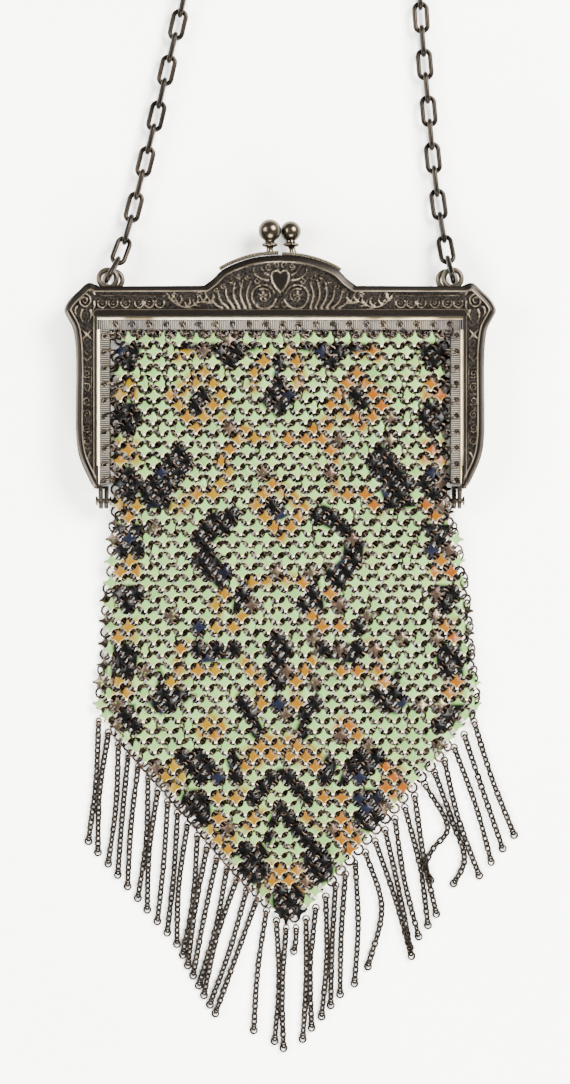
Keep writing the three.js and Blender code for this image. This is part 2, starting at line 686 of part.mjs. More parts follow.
/** One clasp half: a band that lies along the arch and carries the ball. */
function clasp(side, diameter, bandZ, ballZ) {
  const curve = archCurve();
  const steps = 6;
  const along = Array.from({ length: steps + 1 }, (_, i) => {
    const wanted = THREE.MathUtils.lerp(0.4, CLASP_BAND_END, i / steps);
    return pointAcross(curve, wanted);
  });
  const lower = moveInward(along, -PIECE_GAP);
  const upper = moveInward(along, -PIECE_GAP - CLASP_BAND_THICKNESS).reverse();
  const outline = [...lower, ...upper].map((point) => new THREE.Vector2(side * point.x, point.y));
  const band = slab(outline, bandZ - CLASP_BAND_WIDTH / 2, bandZ + CLASP_BAND_WIDTH / 2);
  return band.add(claspBall(diameter, side * BALL_APART / 2, ballZ));
}

/** The point of a curve at a distance across. */
function pointAcross(curve, x) {
  const points = curve.getPoints(120);
  const k = Math.max(points.findIndex((point) => point.x >= x), 1);
  const share = (x - points[k - 1].x) / (points[k].x - points[k - 1].x);
  return points[k - 1].clone().lerp(points[k], share);
}

/** The curve that the links of the carry chain follow, from eye to eye. */
function chainCurve() {
  const rest = LINK_WIDTH / 2;
  const eyeLift = EYE_Z - rest;
  const points = CHAIN_ROUTE.map((row) => new THREE.Vector3(
    row.across * FRONT_EYE_X,
    EYE_Y + row.up * CHAIN_REACH,
    rest + row.lift * eyeLift,
  ));
  points.unshift(new THREE.Vector3(-FRONT_EYE_X, EYE_Y, EYE_Z + EYE_RADIUS / 2));
  points.push(new THREE.Vector3(FRONT_EYE_X, EYE_Y, EYE_Z + EYE_RADIUS / 2));
  return new THREE.CatmullRomCurve3(points, false, 'centripetal');
}

/**
 * A link with its long axis on X and lying in the XY plane: a ring whose two halves are drawn apart.
 * The wire has a ridge on its inner side, where the next link bears.
 */
function chainLink(pitch) {
  const wire = LINK_WIRE / 2;
  const ring = LINK_WIDTH / 2 - wire;
  const stretch = (pitch - WELD) / 2 - (ring - wire);
  const profile = Array.from({ length: WIRE_SIDES + 1 }, (_, i) => {
    const angle = Math.PI + (2 * Math.PI * i) / WIRE_SIDES;
    return new THREE.Vector2(ring + wire * Math.cos(angle), wire * Math.sin(angle));
  });
  const geometry = new THREE.LatheGeometry(profile, LINK_SIDES);
  geometry.rotateX(Math.PI / 2);
  geometry.rotateZ(Math.PI / 2);
  const position = geometry.attributes.position;
  for (let i = 0; i < position.count; i += 1) {
    position.setX(i, position.getX(i) + Math.sign(position.getX(i)) * stretch);
  }
  return geometry;
}

/** The carry chain: links laid along the curve, every other one lying flat, joined in one body. */
function carryChain() {
  const curve = chainCurve();
  curve.arcLengthDivisions = 2000;
  const length = curve.getLength();
  const pitch = (length - 2 * FIRST_LINK_FROM_EYE) / (LINK_COUNT - 1);
  const link = chainLink(pitch);
  const rest = LINK_WIDTH / 2;
  const solids = [];
  for (let i = 0; i < LINK_COUNT; i += 1) {
    const u = (FIRST_LINK_FROM_EYE + i * pitch) / length;
    const place = curve.getPointAt(u);
    const flow = curve.getTangentAt(u);
    place.z = Math.max(place.z, rest);
    const across = new THREE.Vector3(-flow.y, flow.x, 0).normalize();
    const up = flow.clone().cross(across);
    const lying = i % 2 === 1;
    const basis = new THREE.Matrix4().makeBasis(
      flow,
      lying ? across : up,
      lying ? up : across.clone().negate(),
    );
    basis.setPosition(place);
    solids.push(solidOf(link.clone().applyMatrix4(basis)));
  }
  return joined(solids);
}

/** Turns a front piece about the middle depth, so that it becomes the back one. */
function turnedToBack(geometry) {
  return geometry.rotateY(Math.PI).translate(0, 0, DEPTH);
}

const group = new THREE.Group();

/** Adds one named piece to the purse. */
function addPiece(name, geometry, look) {
  const mesh = new THREE.Mesh(geometry, new THREE.MeshStandardMaterial(materials[look]));
  mesh.name = name;
  group.add(mesh);
}

const stripUnder = STRIP_TOP_Z - STRIP_THICKNESS;
const frontMeshHigh = stripUnder - (MESH_THICKNESS - STRIP_THICKNESS) / 2;
const backMeshHigh = DEPTH - frontMeshHigh - MESH_THICKNESS;
const frontMeshLow = MESH_THICKNESS + PIECE_GAP;
const clasped = CLASP_BAND_WIDTH / 2 + PIECE_GAP;

const frontHalf = frameHalf(FRONT_EYE_X, FRONT_TAIL_X, true);
const backHalf = frameHalf(BACK_EYE_X, BACK_TAIL_X, false);

addPiece('front_frame', geometryOf(frontHalf), 'oxidised_metal');
addPiece('back_frame', turnedToBack(geometryOf(backHalf)), 'oxidised_metal');
addPiece('front_lacing_strip', lacingStrip(), 'strip_metal');
addPiece('back_lacing_strip', turnedToBack(lacingStrip()), 'strip_metal');
addPiece('front_mesh', meshPanel(frontMeshLow, frontMeshHigh, 'frontMiddle'), 'enamelled_mesh');
addPiece('back_mesh', meshPanel(0, backMeshHigh, 'backMiddle'), 'enamelled_mesh');
addPiece('fringe', geometryOf(fringe()), 'chain_metal');
addPiece(
  'front_clasp',
  geometryOf(clasp(-1, FRONT_BALL, MID_DEPTH + clasped, MID_DEPTH + BALL_STAGGER / 2)),
  'clasp_metal',
);
addPiece(
  'back_clasp',
  geometryOf(clasp(1, BACK_BALL, MID_DEPTH - clasped, MID_DEPTH - BALL_STAGGER / 2)),
  'clasp_metal',
);
addPiece('left_hinge_pin', hingePin(-1), 'clasp_metal');
addPiece('right_hinge_pin', hingePin(1), 'clasp_metal');
addPiece('carry_chain', geometryOf(carryChain()), 'chain_metal');

export default group;
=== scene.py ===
import math

import bmesh
import bpy
import numpy as np
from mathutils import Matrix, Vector


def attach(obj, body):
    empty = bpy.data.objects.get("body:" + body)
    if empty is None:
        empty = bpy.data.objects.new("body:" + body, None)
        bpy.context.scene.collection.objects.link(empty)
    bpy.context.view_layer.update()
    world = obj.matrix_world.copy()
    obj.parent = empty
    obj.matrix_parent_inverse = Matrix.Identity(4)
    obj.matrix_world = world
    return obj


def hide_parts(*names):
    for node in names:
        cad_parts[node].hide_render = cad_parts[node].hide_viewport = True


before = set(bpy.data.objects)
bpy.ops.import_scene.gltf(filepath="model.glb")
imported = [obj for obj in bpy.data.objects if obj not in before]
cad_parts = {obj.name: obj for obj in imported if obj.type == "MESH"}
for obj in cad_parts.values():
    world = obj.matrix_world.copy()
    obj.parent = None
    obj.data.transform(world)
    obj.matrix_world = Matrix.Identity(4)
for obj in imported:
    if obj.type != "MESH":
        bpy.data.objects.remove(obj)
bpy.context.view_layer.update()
rng = np.random.default_rng(1925)

# The table and the light: a plain pale surface that the purse lies on, seen from straight above in
# soft daylight that comes a little from the right.
VIEW_MIDDLE = (0.0012, -0.0569)
VIEW_HEIGHT = 0.905
VIEW_SPAN = 0.271

camera_data = bpy.data.cameras.new("camera")
camera_data.sensor_fit = "VERTICAL"
camera_data.sensor_height = 36
camera_data.lens = 36 * (VIEW_HEIGHT - 0.005) / VIEW_SPAN
camera = bpy.data.objects.new("camera", camera_data)
camera.location = (*VIEW_MIDDLE, VIEW_HEIGHT)
bpy.context.scene.collection.objects.link(camera)
bpy.context.scene.camera = camera


def area_light(name, place, aim, size, power, colour):
    """A square soft light at a place, turned to face the aim."""
    data = bpy.data.lights.new(name, "AREA")
    data.size = size
    data.energy = power
    data.color = colour
    light = bpy.data.objects.new(name, data)
    light.location = place
    direction = Vector(aim) - Vector(place)
    light.rotation_euler = direction.to_track_quat("-Z", "Y").to_euler()
    bpy.context.scene.collection.objects.link(light)


area_light("window", (0.62, 0.42, 0.75), (0, -0.02, 0), 0.5, 84, (1.0, 0.98, 0.94))
area_light("fill", (-0.75, 0.15, 0.7), (0, -0.05, 0), 0.5, 36, (0.99, 0.98, 0.97))
area_light("low", (0.1, -0.85, 0.5), (0, -0.05, 0), 0.5, 48, (1.0, 0.98, 0.94))

world = bpy.data.worlds.new("daylight")
bpy.context.scene.world = world
world.use_nodes = True
world.node_tree.nodes["Background"].inputs["Color"].default_value = (0.95, 0.97, 1.0, 1)
world.node_tree.nodes["Background"].inputs["Strength"].default_value = 0.55


def feed(tree, socket, value):
    """A value put on a socket, or another socket linked to it."""
    if isinstance(value, bpy.types.NodeSocket):
        tree.links.new(value, socket)
    else:
        socket.default_value = value


def add_node(tree, kind, settings=None, **inputs):
    """A shader node with its settings, and its inputs by name."""
    made = tree.nodes.new(kind)
    for key, value in (settings or {}).items():
        setattr(made, key, value)
    for key, value in inputs.items():
        feed(tree, made.inputs[key.replace("_", " ")], value)
    return made


def mix_colours(tree, share, first, second):
    """The colour between two colours at a share, each of them a value or a socket."""
    made = add_node(tree, "ShaderNodeMix", {"data_type": "RGBA"})
    for place, value in ((0, share), (6, first), (7, second)):
        feed(tree, made.inputs[place], value)
    return made.outputs[2]


def spread(tree, value, low, high, to_low=0.0, to_high=1.0):
    """A value stretched from one range to another and held inside it."""
    made = add_node(
        tree, "ShaderNodeMapRange", Value=value,
        From_Min=low, From_Max=high, To_Min=to_low, To_Max=to_high,
    )
    return made.outputs[0]


def new_look(name):
    """A material with its tree and its Principled shader."""
    look = bpy.data.materials.new(name)
    look.use_nodes = True
    return look, look.node_tree, look.node_tree.nodes["Principled BSDF"]


def grain_group():
    """Broad patches and fine grain that every finish of the purse shares, both from 0 to 1."""
    group = bpy.data.node_groups.new("patches_and_grain", "ShaderNodeTree")
    for name in ("Patch Scale", "Grain Scale"):
        group.interface.new_socket(name, in_out="INPUT", socket_type="NodeSocketFloat")
    for name in ("Patches", "Grain"):
        group.interface.new_socket(name, in_out="OUTPUT", socket_type="NodeSocketFloat")
    given = group.nodes.new("NodeGroupInput").outputs
    result = group.nodes.new("NodeGroupOutput").inputs
    place = group.nodes.new("ShaderNodeTexCoord").outputs["Object"]
    patches = add_node(group, "ShaderNodeTexNoise", Vector=place, Scale=given["Patch Scale"], Detail=2.0)
    grain = add_node(group, "ShaderNodeTexNoise", Vector=place, Scale=given["Grain Scale"], Detail=4.0)
    group.links.new(spread(group, patches.outputs["Fac"], 0.35, 0.65), result["Patches"])
    group.links.new(spread(group, grain.outputs["Fac"], 0.3, 0.7), result["Grain"])
    return group


PATCHES_AND_GRAIN = grain_group()


def add_grain(tree, patch_scale, grain_scale):
    """The sockets Patches and Grain of the shared group at these scales."""
    made = tree.nodes.new("ShaderNodeGroup")
    made.node_tree = PATCHES_AND_GRAIN
    made.inputs["Patch Scale"].default_value = patch_scale
    made.inputs["Grain Scale"].default_value = grain_scale
    return made.outputs["Patches"], made.outputs["Grain"]


def add_bump(tree, shader, height, strength, distance):
    """A bump of a height socket on a shader."""
    bump = add_node(tree, "ShaderNodeBump", Height=height, Strength=strength, Distance=distance)
    tree.links.new(bump.outputs["Normal"], shader.inputs["Normal"])


table_look, tree, shader = new_look("table_white")
patches, grain = add_grain(tree, 6, 900)
table_colour = mix_colours(tree, patches, (0.86, 0.85, 0.825, 1), (0.9, 0.89, 0.87, 1))
feed(tree, shader.inputs["Base Color"], table_colour)
shader.inputs["Roughness"].default_value = 0.6
add_bump(tree, shader, grain, 0.05, 0.0002)

table_mesh = bpy.data.meshes.new("table")
table_mesh.from_pydata(
    [(-2, -2, -0.00003), (2, -2, -0.00003), (2, 2, -0.00003), (-2, 2, -0.00003)], [], [(0, 1, 2, 3)],
)
table_mesh.materials.append(table_look)
table = bpy.data.objects.new("table", table_mesh)
bpy.context.scene.collection.objects.link(table)

# The two frame halves: cast bars of silver-plated metal, darkened with age, with scrolls, rings and
# leaves in relief, a plain shield under the arch and a bead line along the outer edge. Each half is
# one casting, with the chain eyes on its top edge and the thin hinge tails at its feet.
DEPTH = 9.5
MIDDLE = DEPTH / 2
ARM_INNER = 45.6
BAR_BOTTOM = -0.9
ARM_BOTTOM = -43.6
POCKET_BOTTOM = -38.16
SKIRT = 1.2
BAR_BORDER = 2.0
ARM_BORDER = 0.9
ARCH = [(0, 14.55), (5.3, 14.15), (10.45, 12.75), (14.45, 10.8), (16.9, 8.45), (19, 6.9)]
CORNER = [
    (45, 6.75), (47.7, 7.6), (50.2, 5.6), (52.1, 3.75), (53.35, 1.98), (53.7, 0.57), (52.8, -1.37),
    (51.7, -3.49), (51.15, -6.13), (50.8, -10.9), (50.8, -30), (50.38, -34.1), (49.7, -36.66),
    (48.2, -40.06), (46.64, -42.92), (45.6, -43.6),
]
RING_PLACES = [30.0, 32.6, 35.1, 38.5, 41.6, 44.3]
EYE_RADIUS = 2.2
EYE_WIRE = 0.65
FRONT_EYE_X = 43
BACK_EYE_X = 41.8
EYE_Y = 8.8
EYE_Z = 7.2
FRONT_TAIL_X = 44.3
BACK_TAIL_X = 43.0
PIN_Y = -46.6


def smooth_curve(points, count):
    """
    A centripetal Catmull-Rom curve: each stretch between two points is blended from the lines
    through its four nearest points, timed by the square root of the distances between them.
    """
    p = np.asarray(points, float)
    p = np.vstack([2 * p[0] - p[1], p, 2 * p[-1] - p[-2]])
    knots = np.concatenate([[0], np.cumsum(np.linalg.norm(np.diff(p, axis=0), axis=1) ** 0.5)])
    t = np.linspace(knots[1], knots[-2], count)
    k = np.clip(np.searchsorted(knots, t, side="right") - 1, 1, len(p) - 3)

    def between(a, b, ta, tb):
        return a + (b - a) * ((t - ta) / (tb - ta))[:, None]

    t0, t1, t2, t3 = (knots[k + i] for i in (-1, 0, 1, 2))
    a1 = between(p[k - 1], p[k], t0, t1)
    a2 = between(p[k], p[k + 1], t1, t2)
    a3 = between(p[k + 1], p[k + 2], t2, t3)
    return between(between(a1, a2, t0, t2), between(a2, a3, t1, t3), t1, t2)


def spiral(x, y, start_radius, end_radius, start, turn):
    """A curl about a centre: the radius changes evenly while the angle turns, in degrees."""
    share = np.linspace(0, 1, max(8, int(abs(turn) / 12)))
    angle = np.radians(start + turn * share)
    radius = start_radius + (end_radius - start_radius) * share
    return np.stack([x + radius * np.cos(angle), y + radius * np.sin(angle)], axis=1)


def line_distance(x, y, line):
    """The distance from each point to the nearest place on a line, and how far along that is."""
    a, b = line[:-1], line[1:]
    run = b - a
    along = (x[:, None] - a[:, 0]) * run[:, 0] + (y[:, None] - a[:, 1]) * run[:, 1]
    share = np.clip(along / np.maximum((run ** 2).sum(1), 1e-12), 0, 1)
    gap = np.hypot(x[:, None] - a[:, 0] - share * run[:, 0], y[:, None] - a[:, 1] - share * run[:, 1])
    best = gap.argmin(1)
    rows = np.arange(len(x))
    return gap[rows, best], (best + share[rows, best]) / len(a)


def shape_distance(x, y, corners):
    """The distance to the edge of a closed shape, negative inside it."""
    closed = np.vstack([corners, corners[:1]])
    gap, _ = line_distance(x, y, closed)
    a, b = closed[:-1], closed[1:]
    over = (a[:, 1] > y[:, None]) != (b[:, 1] > y[:, None])
    rise = np.where(np.abs(b[:, 1] - a[:, 1]) < 1e-9, 1e-9, b[:, 1] - a[:, 1])
    crossing = a[:, 0] + (y[:, None] - a[:, 1]) * (b[:, 0] - a[:, 0]) / rise
    inside = (over & (x[:, None] < crossing)).sum(1) % 2 == 1
    return np.where(inside, -gap, gap)


def rays(x, y, near, far, count, turn, *sizes):
    """Straight strokes that stand out all round a centre, from a near to a far distance."""
    strokes = []
    for i in range(count):
        angle = math.radians(turn + 360 * i / count)
        out = np.array([math.cos(angle), math.sin(angle)])
        strokes.append((np.array([x, y]) + out * np.array([[near], [far]]), *sizes))
    return strokes


SHIELD = np.array([
    (0, 10.1), (0.8, 10.7), (1.75, 10.45), (2.3, 9.3), (2.0, 7.7), (1.1, 6.2), (0, 5.2),
    (-1.1, 6.2), (-2.0, 7.7), (-2.3, 9.3), (-1.75, 10.45), (-0.8, 10.7),
])
LEAF_PLACES = [(27.2, 3.4), (25.3, 2.1), (23.2, 1.6), (21.2, 2.2), (19.2, 2.9), (17.4, 2.8)]
HEAD_PLACES = [(8.3, 9.0), (10.3, 9.2), (12.4, 8.2), (14.2, 6.8), (15.9, 5.9)]
ARM_CURLS = [-15.0 - 3.38 * i for i in range(6)]
# The strokes of the relief. A curl starts with its centre, start radius, end radius, start angle and
# turn, a bend with the places it stands at, its line and the number of points along it. Every row
# ends with the stroke's start width, end width and height.
AS_DRAWN = [(0, 0)]
CURLS = [
    *((x, 2.55, 1.12, 1.12, 150, 240, 0.46, 0.46, 0.5) for x in RING_PLACES),
    *((x, 2.75, 0.6, 0.15, 200, 300, 0.3, 0.26, 0.36) for x in RING_PLACES),
    *((x, y, 0.65, 0.15, 200, 400, 0.42, 0.3, 0.48) for x, y in HEAD_PLACES),
    *((48.1, y, 1.05, 0.3, 45 if i % 2 else 225, 470, 0.38, 0.3, 0.44) for i, y in enumerate(ARM_CURLS)),
    (26.2, 4.4, 0.7, 0.2, 0, 420, 0.4, 0.3, 0.44), (20.2, 4.6, 0.75, 0.2, 180, -420, 0.4, 0.3, 0.44),
    (4.1, 4.3, 3.2, 2.7, 195, 330, 0.7, 0.45, 0.58), (4.1, 4.3, 2.0, 0.4, 60, 420, 0.5, 0.34, 0.5),
    (1.2, 2.3, 0.85, 0.2, 150, 430, 0.45, 0.3, 0.5), (2.9, 11.6, 0.8, 0.2, 250, 420, 0.45, 0.3, 0.48),
    (0.9, 12.0, 0.7, 0.2, 20, 400, 0.4, 0.3, 0.44), (5.6, 7.9, 0.75, 0.2, 90, -420, 0.42, 0.3, 0.46),
    (48.7, 3.1, 1.75, 0.3, 100, 600, 0.55, 0.34, 0.52), (48.1, -5.3, 0.25, 0.15, 0, 360, 0.4, 0.4, 0.5),
]
BENDS = [
    (AS_DRAWN, [(27.8, 3.9), (25.4, 2.0), (23, 1.5), (19.6, 2.9), (16.6, 2.6)], 24, 0.5, 0.36, 0.48),
    ([(28.3, 0), (34.1, 0), (40.0, 0), (46.0, 0)], [(0, 3.7), (0.3, 2.5), (0, 1.3)], 6, 0.3, 0.2, 0.34),
    (LEAF_PLACES, [(0, 0), (-0.8, 1.1), (-0.5, 2.4)], 8, 0.95, 0.3, 0.5),
    (LEAF_PLACES, [(0, 0), (0.5, 1.0), (1.2, 1.7)], 8, 0.7, 0.25, 0.44),
    (LEAF_PLACES, [(0, 0), (-1.2, -0.4), (-2.0, -0.2)], 8, 0.6, 0.2, 0.4),
    ([(9.3, 3.0), (10.9, 3.2), (12.5, 2.6), (9.4, 6.2), (11.1, 6.2)], [(0, 0), (0.5, 0.6), (0.7, 1.4)],
     6, 0.5, 0.2, 0.36),
    (AS_DRAWN, [(3.0, 8.3), (4.8, 8.7), (6.4, 9.9), (6.6, 11.2)], 12, 0.8, 0.3, 0.5),
    (AS_DRAWN, [(2.9, 9.6), (4.0, 10.2), (4.9, 11.6)], 10, 0.7, 0.3, 0.46),
    *((AS_DRAWN, bend, 14, 0.85, 0.4, 0.54) for bend in (
        [(7.5, 1.5), (8.3, 4.4), (7.4, 7.8)], [(8.8, 1.4), (9.9, 4.6), (9.2, 8.4)],
        [(10.2, 1.4), (11.6, 4.4), (11.3, 7.7)], [(11.6, 1.4), (13.2, 3.9), (13.6, 6.7)],
        [(13.1, 1.4), (14.8, 3.1), (15.5, 5.4)], [(14.6, 1.4), (16.1, 2.2), (17.0, 3.6)],
    )),
    *((AS_DRAWN, bend, 10, 0.85, 0.25, 0.5) for bend in (
        [(46.2, 4.8), (46.9, 5.6), (48.3, 5.7)], [(50.6, 1.6), (51.0, 0.4), (50.3, -1.2)],
        [(47.2, 0.8), (47.0, -0.6), (47.9, -2.2)], [(49.2, 0.9), (49.6, -0.6), (49.0, -2.4)],
        [(46.3, 2.9), (46.2, 1.6), (46.7, 0.6)],
    )),
    *((AS_DRAWN, bend, 8, 0.7, 0.25, 0.42) for bend in (
        [(47.2, -34.6), (47.9, -36.2), (47.3, -38.0)], [(48.9, -34.6), (48.2, -36.2), (48.5, -37.4)],
    )),
]
STRAIGHTS = [
    *(([(46.9, y - 1.69), (49.3, y - 1.69)], 0.22, 0.22, 0.3) for y in ARM_CURLS),
    ([(28.6, 4.4), (44.6, 4.4)], 0.34, 0.34, 0.42),
    ([(46.9, -10.6), (48.1, -11.8), (49.3, -10.6)], 0.45, 0.45, 0.45),
    ([(46.9, -8.9), (48.1, -10.1), (49.3, -8.9)], 0.35, 0.35, 0.4),
    ([(46.9, -13.3), (49.3, -13.3), (49.3, -33.6), (46.9, -33.6), (46.9, -13.3)], 0.28, 0.28, 0.34),
]


def frame_strokes():
    """The right-hand strokes of the relief: a line, its width at the start and end, and its height."""
    strokes = [(spiral(*row[:6]), *row[6:]) for row in CURLS]
    for places, bend, count, *sizes in BENDS:
        strokes += [(smooth_curve(np.add(bend, place), count), *sizes) for place in places]
    strokes += [(np.array(line), *sizes) for line, *sizes in STRAIGHTS]
    strokes += rays(4.3, 4.4, 0.3, 1.0, 5, 90, 0.35, 0.7, 0.42)
    strokes += rays(48.1, -5.3, 0.35, 1.85, 4, 45, 0.75, 0.3, 0.5)
    return strokes


def frame_relief(x, y, from_inner, from_outer, border, arm):
    """
    The height of the face against its plain border, how worn bright it is, and how much of the
    rough cast ground shows. The outer band falls away, a bead stands inside it, the field between
    the borders is sunk by half a millimetre, and each stroke rises from the field as half a round
    wire that narrows along its line.
    """
    x = np.abs(x)
    rise = np.zeros_like(x)
    for line, start, end, height in frame_strokes():
        low = line.min(0) - 0.7
        high = line.max(0) + 0.7
        near = (x > low[0]) & (x < high[0]) & (y > low[1]) & (y < high[1])
        if near.any():
            gap, along = line_distance(x[near], y[near], line)
            half = (start + (end - start) * along) / 2
            ridge = height * np.sqrt(np.clip(1 - (gap / half) ** 2, 0, 1))
            rise[near] = np.maximum(rise[near], ridge)
    gap = shape_distance(x, y, SHIELD)
    rise = np.where(gap < 0, 0.26, rise)
    rise = np.maximum(rise, 0.5 * np.sqrt(np.clip(1 - (gap / 0.28) ** 2, 0, 1)))
    sunk = np.clip((from_inner - border) / 0.22, 0, 1) * np.clip((from_outer - 1.85) / 0.2, 0, 1)
    bead = np.exp(-((from_outer - 1.62) / 0.2) ** 2)
    slope = -0.6 * (np.clip(1 - from_outer / 1.4, 0, 1)) ** 1.5 * (1 - 0.75 * arm)
    edge_line = arm * np.exp(-((from_outer - 0.3) / 0.22) ** 2)
    groove = arm * np.exp(-((from_outer - 0.95) / 0.3) ** 2)
    inner_line = np.exp(-((from_inner - border + 0.12) / 0.16) ** 2)
    rounding = -0.22 * np.clip(1 - from_inner / 0.25, 0, 1) ** 2
    height = slope + rounding + 0.16 * bead + 0.1 * edge_line - 0.25 * groove + 0.08 * inner_line
    height = height * (1 - sunk) + (-0.5 + rise) * sunk
    bright = 0.34 + 0.5 * bead + 0.4 * edge_line - 0.25 * groove + 0.35 * inner_line
    bright = bright - 0.15 * np.clip(1 - from_outer / 1.4, 0, 1) * (1 - arm)
    field_bright = 0.04 + 1.75 * np.clip(rise - 0.04, 0, 0.5)
    field_bright = np.where(gap < -0.3, 0.3, field_bright)
    bright = bright * (1 - sunk) + field_bright * sunk
    return height, np.clip(bright, 0, 1), sunk * (gap > 0) * np.clip(1 - rise / 0.3, 0.25, 1)


def columns(*values):
    """Coordinates side by side, a single number or a shorter row being repeated to fit."""
    return np.stack(np.broadcast_arrays(*values), -1)


def both_sides(line):
    """A run of places from the middle to the right, with its mirror image before it."""
    return np.concatenate([line[:0:-1] * [-1, 1], line])


def frame_stations(step):
    """
    Places along a frame half from the left foot to the right one: an inner and an outer point of
    each cut across it and the share of arm or bar, and the outline on the right.
    """
    outer = smooth_curve(CORNER, 900)
    arch = smooth_curve(ARCH, 300)
    bar_x = np.linspace(0, ARM_INNER, int(ARM_INNER / step))
    crest = np.concatenate([arch, outer[:40]])
    top = np.interp(bar_x, crest[:, 0], crest[:, 1])
    centre = np.array([ARM_INNER, BAR_BOTTOM])
    rel = outer - centre
    polar = np.arctan2(rel[:, 1], rel[:, 0])
    angle = np.linspace(np.pi / 2, 0, int(13 / step))[1:-1]
    fan = np.interp(angle, polar[::-1], np.hypot(rel[:, 0], rel[:, 1])[::-1])
    arm_y = np.linspace(BAR_BOTTOM, ARM_BOTTOM, int(42.7 / step))
    side = np.interp(-arm_y, -outer[:, 1], outer[:, 0])
    inner = np.concatenate([
        columns(bar_x, BAR_BOTTOM), np.repeat(centre[None], len(angle), 0), columns(ARM_INNER, arm_y),
    ])
    outside = np.concatenate([
        columns(bar_x, top), centre + fan[:, None] * columns(np.cos(angle), np.sin(angle)),
        columns(side, arm_y),
    ])
    share = np.concatenate([np.zeros(len(bar_x)), 1 - angle / (np.pi / 2), np.ones(len(arm_y))])
    share = np.concatenate([share[:0:-1], share])
    return both_sides(inner), both_sides(outside), share, np.concatenate([arch, outer[20:]])


def grid_faces(rows, across, close_rows=False, close_columns=False):
    """The four-sided faces of a grid of points, joined round where it closes on itself."""
    r = np.arange(rows if close_rows else rows - 1)
    c = np.arange(across if close_columns else across - 1)
    a, b = np.meshgrid(r, c, indexing="ij")
    a2 = (a + 1) % rows
    b2 = (b + 1) % across
    corners = [a * across + b, a2 * across + b, a2 * across + b2, a * across + b2]
    return np.stack(corners, -1).reshape(-1, 4)


def grid_shape(points, close_rows=False, **marks):
    """A shape from a grid of points whose columns close on themselves, with its faces and marks."""
    shape = {"points": points.reshape(-1, 3)}
    shape["faces"] = grid_faces(points.shape[0], points.shape[1], close_rows, True)
    for name, values in marks.items():
        shape[name] = np.broadcast_to(values, points.shape[:2]).ravel()
    return shape


def across_cuts(inner, outside, shares):
    """The x and y of the places at these shares of the way from the inner to the outer points."""
    run = outside - inner
    return inner[:, :1] + shares * run[:, :1], inner[:, 1:] + shares * run[:, 1:]


def nearest(x, y, line):
    """The distance to a long line, worked out in bands so that the tables stay small."""
    result = np.empty_like(x)
    for start in range(0, len(x), 4000):
        part = slice(start, start + 4000)
        result[part] = line_distance(x[part], y[part], line[::12])[0]
    return result


def frame_body(step, across):
    """
    The bar and arms: a closed section carried along the stations. It runs over the face from the
    inner to the outer edge, down the outside, round the skirt and back under the face.
    """
    inner, outside, arm, outline = frame_stations(step)
    width = np.linalg.norm(outside - inner, axis=1)
    x, y = across_cuts(inner, outside, np.linspace(0, 1, across))
    share = np.tile(np.linspace(0, 1, across), len(inner))
    wide, on_arm = np.repeat(width, across), np.repeat(arm, across)
    flat_x, flat_y = x.ravel(), y.ravel()
    from_outer = np.full(flat_x.shape, 9.0)
    close = wide * (1 - share) < 4.5
    from_outer[close] = nearest(np.abs(flat_x[close]), flat_y[close], outline)
    border = BAR_BORDER + (ARM_BORDER - BAR_BORDER) * on_arm
    lift, bright, carved = frame_relief(flat_x, flat_y, wide * share, from_outer, border, on_arm)
    solid = (inner[:, 1] < POCKET_BOTTOM) | (width < SKIRT + 0.3)
    skirt = np.where(solid, width, SKIRT)
    lip = np.minimum(0.15, width / 4)
    out_steps = columns(
        width, width, width - lip, width - skirt + np.where(solid, 0, lip), width - skirt, width - skirt,
        np.maximum(width - skirt - lip, 0), np.minimum(lip, width - skirt), 0 * width,
    )
    depth_steps = np.array([8.3, 5.05, 4.9, 4.9, 5.05, 8.05, 8.2, 8.2, 8.35])
    shares = np.clip(out_steps / np.maximum(width, 1e-6)[:, None], 0, 1)
    under = columns(*across_cuts(inner, outside, shares), depth_steps)
    points = np.concatenate([columns(x, y, DEPTH + lift.reshape(x.shape)), under], 1)
    points[0] = (*inner[0], 7.5)
    points[-1] = (*inner[-1], 7.5)
    plain = np.zeros(under.shape[:2])
    return grid_shape(
        points, bright=np.concatenate([bright.reshape(x.shape), plain + 0.15], 1),
        carved=np.concatenate([carved.reshape(x.shape), plain], 1),
    )


def wire_ring(radius, wire, around=36, sides=10, stretch=0.0, squeeze=1.0):
    """
    A ring of round wire in the XY plane: a circle carried round a larger circle, whose two halves
    may be drawn apart along X to make a link.
    """
    turn = np.arange(around) * 2 * np.pi / around + np.pi / around
    roll = np.arange(sides) * 2 * np.pi / sides
    reach = radius + wire * np.cos(roll)[None, :]
    x = np.cos(turn)[:, None] * reach
    y = np.sin(turn)[:, None] * reach * squeeze
    x = x + np.sign(np.cos(turn))[:, None] * stretch
    return columns(x, y, wire * np.sin(roll)).reshape(-1, 3), grid_faces(around, sides, True, True)


def copies(template, places, axes, **marks):
    """
    Many copies of one small shape: each point is turned by its copy's three axes and moved to its
    place. Every copy has its own value of each mark.
    """
    template_points, faces = template
    points = np.einsum("pj,njk->npk", template_points, axes) + places[:, None, :]
    count, size = len(places), len(template_points)
    all_faces = faces[None] + (np.arange(count) * size)[:, None, None]
    shape = {"points": points.reshape(-1, 3), "faces": all_faces.reshape(-1, faces.shape[1])}
    for name, values in marks.items():
        shape[name] = np.repeat(values, size)
    return shape


def loop_ring(template, bright, place):
    """One ring at a place, with the same wear all over."""
    points, faces = template
    return {"points": points + np.asarray(place), "faces": faces, "bright": np.full(len(points), bright)}


